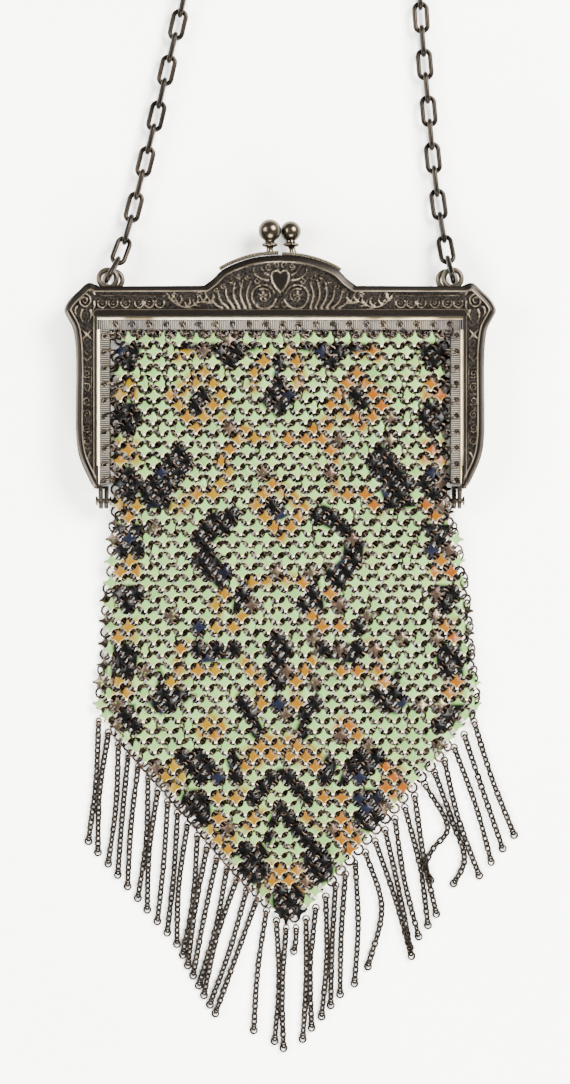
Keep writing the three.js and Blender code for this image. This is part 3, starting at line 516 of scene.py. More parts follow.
def hinge_tail(side, inner_x):
    """
    A thin plate round the hinge bore: a section of four rounded corners carried round the bore,
    whose outer reach follows the outline from the foot round the pin.
    """
    outline = np.array([
        (9.0, -42.9), (4.15, -43.8), (2.75, PIN_Y), (2.9, -47.4), (3.4, -48.1), (4.1, -48.5), (4.75, -48.6),
        (5.4, -48.5), (6.1, -48.1), (6.6, -47.4), (6.75, PIN_Y), (9.0, -44.2),
    ])
    turn = np.linspace(0, 2 * np.pi, 72, endpoint=False)
    rel = outline - np.array([MIDDLE, PIN_Y])
    polar = np.unwrap(np.arctan2(rel[:, 1], rel[:, 0]))
    order = np.argsort(np.mod(polar, 2 * np.pi))
    angles = np.mod(polar, 2 * np.pi)[order]
    dense = np.concatenate([angles - 2 * np.pi, angles, angles + 2 * np.pi])
    xs = np.interp(turn, dense, np.tile(rel[order, 0], 3))
    ys = np.interp(turn, dense, np.tile(rel[order, 1], 3))
    bore = 0.9
    share, thick = np.array([
        (0, 0.05), (0.1, 0), (0.9, 0), (1, 0.12), (1, 0.88), (0.9, 1), (0.1, 1), (0, 0.95),
    ]).T
    z = bore * np.cos(turn)[:, None] * (1 - share) + xs[:, None] * share + MIDDLE
    y = bore * np.sin(turn)[:, None] * (1 - share) + ys[:, None] * share + PIN_Y
    return grid_shape(columns(side * (inner_x + thick), y, z), True, bright=0.45)


def rounded_block(low, high):
    """A small block with eased corners: a ball whose points are drawn out towards a box."""
    v = np.linspace(0, np.pi, 13)[:, None]
    u = np.linspace(0, 2 * np.pi, 24, endpoint=False)
    ball = columns(np.sin(v) * np.cos(u), np.sin(v) * np.sin(u), np.cos(v))
    boxed = np.sign(ball) * np.abs(ball) ** 0.3
    boxed = boxed / np.maximum(1, np.abs(boxed))
    boxed[0, :, :2] = 0
    boxed[-1, :, :2] = 0
    low, high = np.asarray(low, float), np.asarray(high, float)
    return grid_shape((low + high) / 2 + boxed * (high - low) / 2, bright=0.4)


def turned_to_back(shape):
    """The same shape turned about the middle depth, so that a front piece becomes a back one."""
    points = shape["points"] * np.array([-1, 1, -1]) + np.array([0, 0, DEPTH])
    return {**shape, "points": points}


def resting(shape):
    """The same shape with whatever would reach below the table pressed flat on it."""
    points = shape["points"].copy()
    points[:, 2] = np.maximum(points[:, 2], 0.0)
    return {**shape, "points": points}


def make_piece(name, shapes, look, stands_for=(), crease=None):
    """
    One piece of the purse from shapes in millimetres. Points that meet are merged, which closes
    seams and poles, and all faces are turned outward.
    """
    starts = np.cumsum([0] + [len(shape["points"]) for shape in shapes[:-1]])
    points = np.concatenate([shape["points"] for shape in shapes]) * 0.001
    mesh = bpy.data.meshes.new(name)
    faces = [face for shape, start in zip(shapes, starts) for face in (shape["faces"] + start).tolist()]
    mesh.from_pydata(points.tolist(), [], faces)
    for mark in [key for key in shapes[0] if key not in ("points", "faces")]:
        layer = mesh.attributes.new(mark, "FLOAT", "POINT")
        values = np.concatenate([shape.get(mark, np.zeros(len(shape["points"]))) for shape in shapes])
        layer.data.foreach_set("value", values.astype(np.float32))
    work = bmesh.new()
    work.from_mesh(mesh)
    bmesh.ops.remove_doubles(work, verts=work.verts, dist=2e-7)
    bmesh.ops.dissolve_degenerate(work, edges=work.edges, dist=1e-8)
    bmesh.ops.recalc_face_normals(work, faces=work.faces)
    work.to_mesh(mesh)
    work.free()
    mesh.polygons.foreach_set("use_smooth", np.ones(len(mesh.polygons), bool))
    if crease:
        mesh.set_sharp_from_angle(angle=math.radians(crease))
    mesh.materials.append(look)
    piece = bpy.data.objects.new(name, mesh)
    bpy.context.scene.collection.objects.link(piece)
    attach(piece, "root")
    if stands_for:
        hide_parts(*stands_for)
    return piece


def maths(tree, operation, *values):
    """A sum, product or other operation on values or sockets."""
    made = add_node(tree, "ShaderNodeMath", {"operation": operation})
    for socket, value in zip(made.inputs, values):
        feed(tree, socket, value)
    return made.outputs[0]


def attribute(tree, name):
    """The value of one of the mesh's own attributes."""
    return add_node(tree, "ShaderNodeAttribute", {"attribute_name": name}).outputs["Fac"]


def finish_look(tree, shader, colour, grain, roughness, metallic):
    """The colour, the roughness as a range over the grain, and the metallic share."""
    feed(tree, shader.inputs["Base Color"], colour)
    feed(tree, shader.inputs["Roughness"], spread(tree, grain, 0, 1, *roughness))
    feed(tree, shader.inputs["Metallic"], metallic)


frame_look, tree, shader = new_look("oxidised_frame")
patches, grain = add_grain(tree, 160, 5200)
place = add_node(tree, "ShaderNodeTexCoord").outputs["Object"]
cast = add_node(tree, "ShaderNodeTexNoise", Vector=place, Scale=1500.0, Detail=3.0).outputs["Fac"]
ground = maths(tree, "MULTIPLY", spread(tree, cast, 0.42, 0.62), attribute(tree, "carved"))
glint = maths(tree, "ADD", attribute(tree, "bright"), spread(tree, ground, 0, 1, 0, 0.36))
worn = maths(tree, "MULTIPLY_ADD", grain, 0.2, glint)
shade = mix_colours(tree, patches, (0.0020, 0.0014, 0.0009, 1), (0.0036, 0.0026, 0.0018, 1))
metal = mix_colours(tree, patches, (0.056, 0.044, 0.030, 1), (0.118, 0.098, 0.069, 1))
low_tone = mix_colours(tree, spread(tree, worn, 0.1, 0.5), shade, (0.0050, 0.0034, 0.0020, 1))
frame_colour = mix_colours(tree, spread(tree, worn, 0.5, 1.05), low_tone, metal)
finish_look(tree, shader, frame_colour, grain, (0.3, 0.46), 0.85)
add_bump(tree, shader, ground, 0.8, 0.00022)


def frame_half(eye_x, tail_x, step, across):
    """All the shapes of a frame half in the place of the front one."""
    shapes = [frame_body(step, across)]
    for side in (-1, 1):
        ring = wire_ring(EYE_RADIUS, EYE_WIRE, 40, 12)
        shapes.append(loop_ring(ring, 0.62, (side * eye_x, EYE_Y, EYE_Z)))
        shapes.append(hinge_tail(side, tail_x))
        low = (side * tail_x if side > 0 else -46.4, -43.6, 8.0)
        high = (46.4 if side > 0 else -tail_x, -42.9, 9.25)
        shapes.append(rounded_block(low, high))
    return shapes


make_piece(
    "front_frame_half", frame_half(FRONT_EYE_X, FRONT_TAIL_X, 0.19, 58), frame_look,
    ["front_frame"], crease=55,
)
back_shapes = [resting(turned_to_back(shape)) for shape in frame_half(BACK_EYE_X, BACK_TAIL_X, 0.28, 42)]
make_piece("back_frame_half", back_shapes, frame_look, ["back_frame"], crease=55)

# The lacing strips: thin reeded brass strips, silvered and partly tarnished, that lie under the inner
# edge of each half. A plain bright line borders the reeds, and the mesh is laced to the row of holes.
STRIP_TOP = 7.9
STRIP_THICK = 0.6
STRIP_INNER = 42.5
STRIP_LOWER = -4.0
STRIP_UPPER = -0.1
STRIP_OUTER = 46.4
STRIP_END = -42.5
REED_PITCH = 0.53
HOLE_PITCH_TOP = 4.17
HOLE_PITCH_SIDE = 4.0
HOLE_INSET = 1.45
HOLE_RADIUS = 0.68
TOP_HOLES = np.arange(-10, 11) * HOLE_PITCH_TOP + 0.6
SIDE_HOLES = -5.4 - np.arange(10) * HOLE_PITCH_SIDE


def strip_surface(x, y):
    """
    The height of a strip's face and its marks. Reeds run across it as a wave of x along the top and
    of y down the sides, a plain line stands outside them, and each hole is a round pit.
    """
    x = np.abs(x)
    on_top = y > STRIP_LOWER
    inset = np.where(on_top, y - STRIP_LOWER, x - STRIP_INNER)
    inset = np.where(on_top & (x > STRIP_INNER + 2.4), np.maximum(inset, 0.6), inset)
    wave = np.cos(2 * np.pi * np.where(on_top, x, y) / REED_PITCH)
    reeded = np.clip(inset / 0.15, 0, 1) * np.clip((2.5 - inset) / 0.15, 0, 1)
    line = np.exp(-((inset - 2.85) / 0.34) ** 4)
    return 0.09 * wave * reeded + 0.16 * line, wave * reeded, line


def strip_shape(step, across):
    """
    A strip as a closed flat section carried from the left foot over the top to the right foot,
    turning about its inner corners.
    """
    top_x = np.linspace(0, STRIP_INNER, int(STRIP_INNER / step))
    angle = np.linspace(np.pi / 2, 0, int(7.8 / step))[1:-1]
    side_y = np.linspace(STRIP_LOWER, STRIP_END, int((STRIP_LOWER - STRIP_END) / step))
    corner = np.array([STRIP_INNER, STRIP_LOWER])
    out = np.stack([np.cos(angle), np.sin(angle)], 1)
    square = 3.9 / np.max(np.abs(out), axis=1)
    inner = both_sides(np.concatenate([
        columns(top_x, STRIP_LOWER), np.repeat(corner[None], len(angle), 0), columns(STRIP_INNER, side_y),
    ]))
    side_x = np.where(side_y > POCKET_BOTTOM + 0.3, STRIP_OUTER, ARM_INNER - 0.3)
    outside = both_sides(np.concatenate([
        columns(top_x, STRIP_UPPER), corner + square[:, None] * out, columns(side_x, side_y),
    ]))
    x, y = across_cuts(inner, outside, np.linspace(0, 1, across))
    lift, wave, line = strip_surface(x, y)
    pit = np.full(x.shape, 9.0)
    hole_y = STRIP_LOWER + HOLE_INSET
    for hole_x in TOP_HOLES:
        pit = np.minimum(pit, np.hypot(x - hole_x, y - hole_y))
    for hole_y in SIDE_HOLES:
        pit = np.minimum(pit, np.hypot(np.abs(x) - STRIP_INNER - HOLE_INSET, y - hole_y))
    open_hole = np.clip((HOLE_RADIUS - pit) / 0.1, 0, 1)
    lift = lift * (1 - open_hole) - 0.42 * open_hole
    under = STRIP_TOP - STRIP_THICK
    points = np.concatenate([
        columns(x, y, STRIP_TOP + lift - 0.1), columns(x[:, -1:], y[:, -1:], under),
        columns(x[:, :1], y[:, :1], under),
    ], 1)
    for end in (0, -1):
        points[end] = points[end].mean(0)
    pad = np.zeros((len(x), 2))
    marks = {"reed": wave, "line": line, "hole": open_hole}
    return grid_shape(points, **{name: np.concatenate([mark, pad], 1) for name, mark in marks.items()})


def place_across(tree):
    """The place across the purse in metres."""
    place = add_node(tree, "ShaderNodeTexCoord").outputs["Object"]
    return add_node(tree, "ShaderNodeSeparateXYZ", Vector=place).outputs["X"]


strip_look, tree, shader = new_look("lacing_strip")
patches, grain = add_grain(tree, 75, 3000)
to_right = spread(tree, place_across(tree), -0.01, 0.03)
silver = mix_colours(tree, to_right, (0.92, 0.80, 0.54, 1), (0.90, 0.72, 0.38, 1))
silver = mix_colours(tree, spread(tree, patches, 0.62, 0.95), silver, (0.19, 0.135, 0.07, 1))
# The reeds are painted much darker than the plain line beside them, and near-black between the crests.
darkened_reed_silver = mix_colours(tree, 0.72, silver, (0.07, 0.047, 0.022, 1))
crests = spread(tree, attribute(tree, "reed"), 0.5, 1.1)
reeds = mix_colours(tree, crests, (0.003, 0.0019, 0.0011, 1), darkened_reed_silver)
plain = mix_colours(tree, spread(tree, attribute(tree, "line"), 0.25, 0.8), reeds, silver)
# Painted shade: each hole is a shallow pit painted near-black, for the dark seen through a real hole.
painted_hole_shade = spread(tree, attribute(tree, "hole"), 0.2, 0.9)
strip_colour = mix_colours(tree, painted_hole_shade, plain, (0.003, 0.0024, 0.002, 1))
finish_look(tree, shader, strip_colour, grain, (0.3, 0.5), 0.3)
add_bump(tree, shader, grain, 0.2, 0.00004)

make_piece("front_strip", [strip_shape(0.12, 30)], strip_look, ["front_lacing_strip"])
make_piece(
    "back_strip", [turned_to_back(strip_shape(0.16, 24))], strip_look,
    ["back_lacing_strip"],
)

# The mesh panels: small four-armed tiles of enamelled metal, linked at every arm by a dark ring, in
# staggered rows that hang from the strips and run down to a point. The enamel is pale green with
# ochre and orange bands and black shapes, and each tile dips under the row above it.
MESH_FREE = -48.6
SHOULDER = -100.3
FIRST_ROW = -6.45
ROW_STEP = 2.76
POINT_STEP = 2.6
TILE_ARM_X = 1.93
TILE_ARM_Y = 1.86
TILE_TIP = 0.27
RING_CENTRE_LINE = 1.28
RING_WIRE = 0.31
FOLD_RADIUS = 1.0
PANEL_ROWS = np.array([
    (-4.3, -42.2, 42.2, 1, 1, 1), (-13.9, -42.2, 42.2, 1, 0.94, 0.2), (-28.3, -42.2, 42.2, 1, 0.9, 0),
    (-43.6, -42.2, 42.2, 0.97, 0.84, 0), (-50.4, -42.2, 43.0, 0.7, 0.76, 0),
    (-57.1, -42.8, 44.9, 0.3, 0.66, 0), (-66.7, -43.7, 46.6, 0.04, 0.52, 0),
    (-77.2, -44.7, 47.9, 0, 0.4, 0), (-88.8, -45.5, 48.9, 0, 0.3, 0), (-96.5, -45.9, 49.7, 0, 0.24, 0),
    (-100.3, -45.7, 48.7, 0, 0.22, 0), (-110.8, -36.5, 40.7, 0, 0.176, 0),
    (-121.3, -27.6, 31.9, 0, 0.132, 0), (-131.9, -18.4, 22.7, 0, 0.088, 0),
    (-142.4, -8.9, 13.2, 0, 0.044, 0), (-152.9, 1.1, 4.1, 0, 0, 0),
])
PITCH_ROWS = np.array([(-152.9, 4.3), (-125, 4.4), (-100, 4.5), (-70, 4.4), (-45, 4.22), (-4, 4.2)])
SIDE_BLACKS = [-10.4, -26.1, -42.4, -56.4, -70.9, -86.6, -101.1]
BLACK_SHAPES = [
    [(5.5, -6.9), (23.5, -6.9), (23.5, -9.1), (17.0, -9.6), (15.0, -12.4), (12.5, -13.6), (10.0, -12.1),
     (8.5, -9.6), (5.5, -9.1)],
    [(-1.0, -8.4), (1.0, -8.4), (1.0, -12.9), (1.8, -16.4), (3.5, -18.4), (4.6, -21.9), (2.5, -24.4),
     (0.0, -26.8), (-2.5, -24.4), (-4.6, -21.9), (-3.5, -18.4), (-1.8, -16.4), (-1.0, -12.9)],
    [(24.5, -32.9), (28.0, -34.4), (30.5, -36.9), (32.0, -40.4), (34.0, -42.9), (33.5, -48.1),
     (27.0, -48.4), (25.5, -44.4), (25.0, -41.4), (22.0, -39.9), (22.0, -35.4)],
    [(3.0, -70.9), (7.0, -70.6), (7.0, -66.6), (10.5, -66.6), (11.5, -74.4), (3.0, -74.4)],
    [(19.5, -74.1), (21.8, -81.4), (22.5, -84.4), (20.5, -87.1), (12.0, -86.4), (9.0, -82.1),
     (15.0, -81.9), (18.5, -81.4)],
    [(-0.8, -79.4), (0.8, -79.4), (2.7, -81.4), (3.1, -88.4), (1.5, -93.9), (1.5, -97.9), (0.0, -98.9),
     (-1.5, -97.9), (-1.5, -93.9), (-3.1, -88.4), (-2.7, -81.4)],
    [(29.5, -88.4), (31.8, -94.4), (32.0, -97.4), (29.5, -100.4), (24.0, -98.4), (20.0, -94.9),
     (26.5, -93.9)],
    [(26.0, -110.4), (23.0, -108.4), (19.5, -108.9), (15.5, -113.9), (14.0, -118.1), (21.0, -117.4)],
    [(14.5, -109.4), (11.5, -109.4), (9.5, -113.4), (10.0, -118.4), (13.0, -115.4)],
]
BLACK_STROKES = [
    ([(19.9, -21.5), (20.0, -21.5)], 5.2), ([(0, -48.6), (0.1, -48.6)], 5.0),
    ([(11.0, -50.1), (15.5, -52.4), (19.0, -56.4), (18.5, -61.4), (14.0, -65.9)], 4.8),
    ([(9.5, -95.9), (5.5, -104.6)], 3.4), ([(0.0, -114.9), (7.5, -121.4)], 3.0),
    ([(0.5, -123.9), (5.0, -131.9)], 2.8), ([(21.8, -122.2), (21.8, -125.8)], 7.2),
    ([(8.2, -135.6), (8.2, -138.8)], 7.0), ([(0.0, -147.0), (0.0, -153.0)], 8.0),
]
ORANGE_STROKES = [
    ([(19.9, -14.9), (26.4, -21.4), (19.9, -27.9), (13.4, -21.4), (19.9, -14.9)], 3.6),
    ([(3.5, -9.9), (6.2, -18.4)], 3.2), ([(20.0, -9.6), (25.0, -10.4)], 3.2),
    ([(13.0, -26.4), (10.0, -29.4), (3.5, -31.4)], 3.6),
    ([(10.5, -31.4), (13.5, -35.1), (13.5, -43.1)], 3.6),
    ([(15.0, -44.9), (21.2, -44.4), (25.5, -48.8)], 3.4),
    ([(0.0, -42.2), (5.9, -48.6), (0.0, -55.6)], 3.2), ([(1.5, -65.6), (6.0, -66.9)], 3.0),
    ([(13.5, -69.4), (15.5, -72.9), (15.0, -78.9), (10.5, -77.9), (8.5, -76.1)], 3.0),
    ([(23.0, -82.6), (26.0, -89.4)], 3.2), ([(16.5, -88.9), (22.5, -89.9)], 3.2),
    ([(24.5, -92.9), (28.0, -92.4)], 3.0), ([(7.5, -86.9), (4.0, -92.4), (5.0, -97.4)], 3.4),
    ([(17.0, -103.9), (17.1, -103.9)], 7.4), ([(3.0, -108.4), (7.5, -111.2)], 6.4),
    ([(10.0, -120.1), (15.5, -121.6)], 3.4), ([(27.8, -115.0), (27.8, -118.0)], 6.6),
    ([(15.5, -128.6), (15.5, -131.6)], 6.8), ([(3.0, -140.9), (3.1, -140.9)], 8.5),
    ([(5.5, -125.0), (9.0, -128.0)], 2.6),
]


def panel_at(y):
    """Left edge, right edge, edge share, front and back middle share of the panels at a height."""
    order = PANEL_ROWS[::-1]
    return [np.interp(y, order[:, 0], order[:, i]) for i in range(1, 6)]


def panel_depth(x, y, back):
    """
    The depth of a panel's middle surface: its low place plus its rise times the edge share, and
    towards the middle more or less as a cosine of the place across.
    """
    left, right, edge, front_middle, back_middle = panel_at(y)
    across = np.clip((2 * x - left - right) / (right - left), -1, 1)
    middle = back_middle if back else front_middle
    share = edge + (middle - edge) * np.cos(np.pi * across / 2)
    return 0.45 + 1.2 * share if back else 1.4 + 5.65 * share + 0.75


def tile_grid(back):
    """
    The centre of every tile of one panel as x and y, in staggered rows down to the point. The back
    panel lies a quarter tile aside and half a row down, so that it closes the gaps of the front one.
    """
    upper = FIRST_ROW - ROW_STEP * np.arange(35)
    lower = upper[-1] - POINT_STEP * np.arange(1, 20)
    rows = np.concatenate([upper, lower]) - (ROW_STEP / 2 if back else 0)
    number = np.arange(len(rows))
    left, right, *_ = panel_at(rows)
    middle = (left + right) / 2
    pitch = np.interp(rows, PITCH_ROWS[:, 0], PITCH_ROWS[:, 1])
    step = np.arange(-11, 12)
    aside = 0.5 * (number % 2)[:, None] + (0.25 if back else 0)
    x = middle[:, None] + (step[None, :] + aside) * pitch[:, None]
    y = np.broadcast_to(rows[:, None], x.shape)
    return x.ravel(), y.ravel(), np.repeat(pitch, len(step))


def unit(rows):
    """The same directions at length one."""
    return rows / np.linalg.norm(rows, axis=1)[:, None]


def fold_round(x, y, back):
    """
    Places on a panel's surface, folded round its side edge where the panels meet: past the start of
    the fold, the way along the cloth of tiles becomes an angle about a small half circle. Gives the
    place and the three axes of the surface there.
    """
    left, right, *_ = panel_at(y)
    free = y < MESH_FREE + 4
    side = np.where(x > (left + right) / 2, 1, -1)
    edge = np.where(side > 0, right, left)
    past = (x - edge) * side + FOLD_RADIUS
    angle = np.where(free & (past > 0), past / FOLD_RADIUS, 0)
    angle = np.minimum(angle, 0.9)
    start = edge - side * FOLD_RADIUS
    flat_x = np.where(angle > 0, start, x)
    z = panel_depth(flat_x, y, back)
    turn = -1 if back else 1
    new_x = np.where(angle > 0, start + side * FOLD_RADIUS * np.sin(angle), x)
    new_z = z - turn * FOLD_RADIUS * (1 - np.cos(angle)) * 0.6 + (1.7 * np.sin(angle) if back else 0)
    lean = angle * side
    gap = 0.5
    slope_x = (panel_depth(flat_x + gap, y, back) - panel_depth(flat_x - gap, y, back)) / (2 * gap)
    slope_y = (panel_depth(flat_x, y + gap, back) - panel_depth(flat_x, y - gap, back)) / (2 * gap)
    slope_x = np.where(angle > 0, 0, slope_x)
    axis_x = unit(columns(np.cos(lean), 0 * lean, slope_x - turn * np.sin(lean)))
    axis_z = unit(np.cross(axis_x, columns(0 * x, np.ones_like(x), slope_y)))
    axis_y = np.cross(axis_z, axis_x)
    if back:
        axis_x, axis_z = -axis_x, -axis_z
    return columns(new_x, y, new_z), np.stack([axis_x, axis_y, axis_z], 1)


def turned_axes(axes, about_x, about_y, about_z):
    """Axes turned by small angles about their own x, y and z."""
    cx, sx = np.cos(about_x), np.sin(about_x)
    cy, sy = np.cos(about_y), np.sin(about_y)
    cz, sz = np.cos(about_z), np.sin(about_z)
    one, nil = np.ones_like(cx), np.zeros_like(cx)

    def matrix(*rows):
        return np.stack([np.stack(row, 1) for row in rows], 1)

    rx = matrix((one, nil, nil), (nil, cx, sx), (nil, -sx, cx))
    ry = matrix((cy, nil, -sy), (nil, one, nil), (sy, nil, cy))
    rz = matrix((cz, sz, nil), (-sz, cz, nil), (nil, nil, one))
    return np.einsum("nij,njk,nkl,nlm->nim", rz, ry, rx, axes)


def tile_template():
    """
    One tile: from each blunt arm tip a hollow curve runs to the next tip. The face is slightly
    domed, its rim rolls down, and the arm tips bend down towards the rings.
    """
    t = np.linspace(0, 1, 5)[:, None]
    a = np.array([TILE_ARM_X, TILE_TIP])
    c = np.array([TILE_TIP, TILE_ARM_Y])
    b = np.array([0.32, 0.32])
    side = (1 - t) ** 2 * a + 2 * t * (1 - t) * b + t ** 2 * c
    quarters = [side, side[::-1] * [-1, 1], -side, side[::-1] * [1, -1]]
    outline = np.concatenate(quarters)
    count = len(outline)
    reach = np.hypot(outline[:, 0], outline[:, 1])
    droop = -0.16 * np.clip(reach - 1.2, 0, None) ** 1.5
    rings = [
        np.column_stack([outline * 0.0, np.full(count, 0.1)]),
        np.column_stack([outline * 0.78, 0.08 + droop * 0.5]),
        np.column_stack([outline, droop - 0.02]),
        np.column_stack([outline * 0.0, np.full(count, -0.12)]),
    ]
    points = np.concatenate(rings)
    rim = np.repeat([0.0, 0.4, 1.0, 2.0], count)
    return points, grid_faces(4, count, close_columns=True), rim


def pattern_marks(x, y):
    """
    Signed distances in millimetres from a place to the nearest black shape and to the nearest
    orange one. The shapes stand on both sides of the middle, and the groups along the side and
    bottom borders follow the edges.
    """
    left, right, *_ = panel_at(y)
    axis = -0.5 + np.clip((-y - 100) / 50, 0, 1) * 2.6
    across = np.abs(x - axis)
    black = np.full(x.shape, 9.0)
    orange = np.full(x.shape, 9.0)
    for corners in BLACK_SHAPES:
        black = np.minimum(black, shape_distance(across, y, np.array(corners)))
    for line, width in BLACK_STROKES:
        black = np.minimum(black, line_distance(across, y, np.array(line, float))[0] - width / 2)
    for line, width in ORANGE_STROKES:
        orange = np.minimum(orange, line_distance(across, y, np.array(line, float))[0] - width / 2)
    inset = np.minimum(x - left, right - x)
    band = np.interp(-y, [0, 45, 75, 105], [3.4, 4.2, 6.0, 6.2])
    for place in SIDE_BLACKS:
        box = np.maximum(np.abs(inset - band) - 3.3, np.abs(y - place) - 3.6)
        black = np.minimum(black, box)
    for low, high in zip(SIDE_BLACKS[1:], SIDE_BLACKS[:-1]):
        box = np.maximum(np.abs(inset - band) - 2.8, np.abs(y - (low + high) / 2) - 2.9)
        orange = np.minimum(orange, box)
    return black, orange


def mesh_panel(back):
    """The tiles and the rings of one panel, as two shapes."""
    x, y, pitch = tile_grid(back)
    left, right, *_ = panel_at(y)
    point = y < SHOULDER - 0.5
    laced = y > MESH_FREE + 4
    margin = np.where(point, 1.5, np.where(laced, np.where(y > -9, 1.4, 0.5), 0.4))
    keep = (x > left + margin) & (x < right - margin)
    x, y, pitch = x[keep], y[keep], pitch[keep]
    left, right = left[keep], right[keep]
    places, axes = fold_round(x, y, back)
    number = len(x)
    nearness = np.clip(1 - np.minimum(x - left, right - x) / 6, 0, 1)
    wobble = 1 + 1.6 * nearness
    tilt = np.radians(-6 + 5.5 * wobble * rng.standard_normal(number))
    roll = np.radians(5.5 * wobble * rng.standard_normal(number))
    beside = (y > MESH_FREE + 4) & (np.minimum(x - left, right - x) < 2.4)
    roll += np.radians(24) * beside * np.where(x > 0, 1, -1) * (-1 if back else 1)
    yaw = np.radians(2.6 * wobble * rng.standard_normal(number))
    points, faces, rim = tile_template()
    scale = pitch / 4.2
    tone = rng.random(number)
    bare = (rng.random(number) < 0.045 + 0.09 * nearness).astype(float)
    tile_axes = turned_axes(axes, tilt, roll, yaw) * (1 + 0.5 * (scale - 1))[:, None, None]
    centre = places + axes[:, 2] * 0.08
    centre[:, :2] += 0.08 * rng.standard_normal((number, 2))
    tiles = copies((points, faces), centre, tile_axes, tone=tone, bare=bare)
    tiles["rim"] = np.tile(rim, number)
    tiles["low"] = np.tile(-points[:, 1] / TILE_ARM_Y, number)
    middle = np.repeat(centre[:, :2], len(points), axis=0)
    painted = middle + 0.45 * (tiles["points"][:, :2] - middle)
    tiles["black"], tiles["orange"] = pattern_marks(painted[:, 0], painted[:, 1])

    ring_x = x + pitch / 2
    left, right, *_ = panel_at(y)
    keep = ring_x < right + np.where(y < MESH_FREE + 4, 1.0, -0.2)
    keep &= (y > SHOULDER) | (ring_x < right - 0.6)
    first = np.unique(np.round(y, 3), return_index=True)[1]
    edge_x = x[first] - pitch[first] / 2
    ring_x = np.concatenate([ring_x[keep], edge_x])
    ring_y = np.concatenate([y[keep], y[first]])
    left, right, *_ = panel_at(ring_y)
    inside = ring_x > left + np.where(ring_y < MESH_FREE + 4, 0.2, 0.3)
    places, axes = fold_round(ring_x[inside], ring_y[inside], back)
    number = len(places)
    axes_of_rings = turned_axes(
        axes, np.radians(10 * rng.standard_normal(number)), np.radians(10 * rng.standard_normal(number)),
        np.radians(60 * rng.random(number)),
    )
    rings = copies(
        wire_ring(RING_CENTRE_LINE, RING_WIRE, 10, 4), places - axes[:, 2] * 0.3, axes_of_rings,
        bright=0.25 + 0.45 * rng.random(number),
    )
    return resting(tiles), resting(rings)


tile_look, tree, shader = new_look("enamelled_tiles")
patches, grain = add_grain(tree, 90, 1400)
mark = {name: attribute(tree, name) for name in ("tone", "bare", "rim", "low", "black", "orange")}
green = mix_colours(tree, mark["tone"], (0.064, 0.136, 0.036, 1), (0.098, 0.195, 0.056, 1))
green = mix_colours(tree, spread(tree, patches, 0.6, 1, 0, 0.35), green, (0.150, 0.205, 0.052, 1))
ochre = mix_colours(tree, mark["tone"], (0.090, 0.056, 0.0002, 1), (0.086, 0.036, 0.0001, 1))
rust = mix_colours(tree, mark["tone"], (0.085, 0.0185, 0.0001, 1), (0.086, 0.033, 0.0001, 1))
orange = mix_colours(tree, spread(tree, place_across(tree), -0.02, 0.03), ochre, rust)
navy = spread(tree, mark["tone"], 0.86, 0.92)
ink = mix_colours(tree, navy, (0.0004, 0.0004, 0.0004, 1), (0.0030, 0.0038, 0.0085, 1))
enamel = mix_colours(tree, spread(tree, mark["orange"], 0.55, -0.35), green, orange)
# Painted highlight: a cream line along each tile's rim, strong on its lower half and faint on its upper
# half, stands in for light caught by the rounded enamel edge.
painted_highlight_tone = mix_colours(tree, 0.75, enamel, (0.50, 0.43, 0.20, 1))
on_rim = spread(tree, mark["rim"], 0.5, 0.78)
painted_highlight_rim = maths(tree, "MULTIPLY", on_rim, spread(tree, mark["low"], -0.1, 0.2, 0.1, 1.0))
enamel = mix_colours(tree, painted_highlight_rim, enamel, painted_highlight_tone)
# Painted highlight: the bottom arm tip of every tile is turned pale, for the light it catches where it
# rises over the ring below.
painted_highlight_tip = spread(tree, mark["low"], 0.68, 0.86, 0, 0.85)
enamel = mix_colours(tree, painted_highlight_tip, enamel, (0.62, 0.58, 0.40, 1))
inked = spread(tree, mark["black"], 0.25, -0.2)
enamel = mix_colours(tree, inked, enamel, ink)
chipped = maths(tree, "MULTIPLY", mark["bare"], spread(tree, grain, 0.05, 0.3))
uncoated = maths(tree, "MAXIMUM", spread(tree, mark["rim"], 1.02, 1.2), chipped)
# Bare metal shows on every tile's back and on the chipped faces. On tiles that are not chipped it is
# painted almost black: painted shade inside the purse, seen through the gaps.
bare_metal_and_painted_shade = mix_colours(tree, mark["bare"], (0.012, 0.008, 0.006, 1), (0.050, 0.034, 0.025, 1))
tile_colour = mix_colours(tree, uncoated, enamel, bare_metal_and_painted_shade)
finish_look(tree, shader, tile_colour, grain, (0.26, 0.4), spread(tree, uncoated, 0, 1, 0, 0.85))
feed(tree, shader.inputs["Specular IOR Level"], spread(tree, inked, 0, 1, 0.13, 0.07))
add_bump(tree, shader, grain, 0.2, 0.00008)


def plated_look(name, scales, dark, warm, wear, roughness, metallic, bump):
    """A plated metal: dark by its patches, warm by its grain, and warmer where it is worn bright."""
    look, tree, shader = new_look(name)
    patches, grain = add_grain(tree, *scales)
    share = spread(tree, attribute(tree, "bright"), *wear)
    colour = mix_colours(tree, share, mix_colours(tree, patches, *dark), mix_colours(tree, grain, *warm))
    finish_look(tree, shader, colour, grain, roughness, metallic)
    add_bump(tree, shader, grain, *bump)
    return look


ring_look = plated_look(
    "bronzed_wire", (260, 4200), ((0.0028, 0.0019, 0.0013, 1), (0.007, 0.0048, 0.0034, 1)),
    ((0.050, 0.034, 0.024, 1), (0.10, 0.075, 0.056, 1)), (0.25, 1), (0.2, 0.32), 0.95, (0.15, 0.00003),
)

for back, side in ((False, "front"), (True, "back")):
    tiles, rings = mesh_panel(back)
    make_piece(side + "_tiles", [tiles], tile_look, [side + "_mesh"])
    make_piece(side + "_tile_rings", [rings], ring_look, [side + "_mesh"])

# The lacing: oval wire links through the holes of each strip, which hold the first row of rings and
# the outer arms of the tiles beside the strip.
LACE_RADIUS = 0.85
LACE_WIRE = 0.22
LACE_STRETCH = 0.75


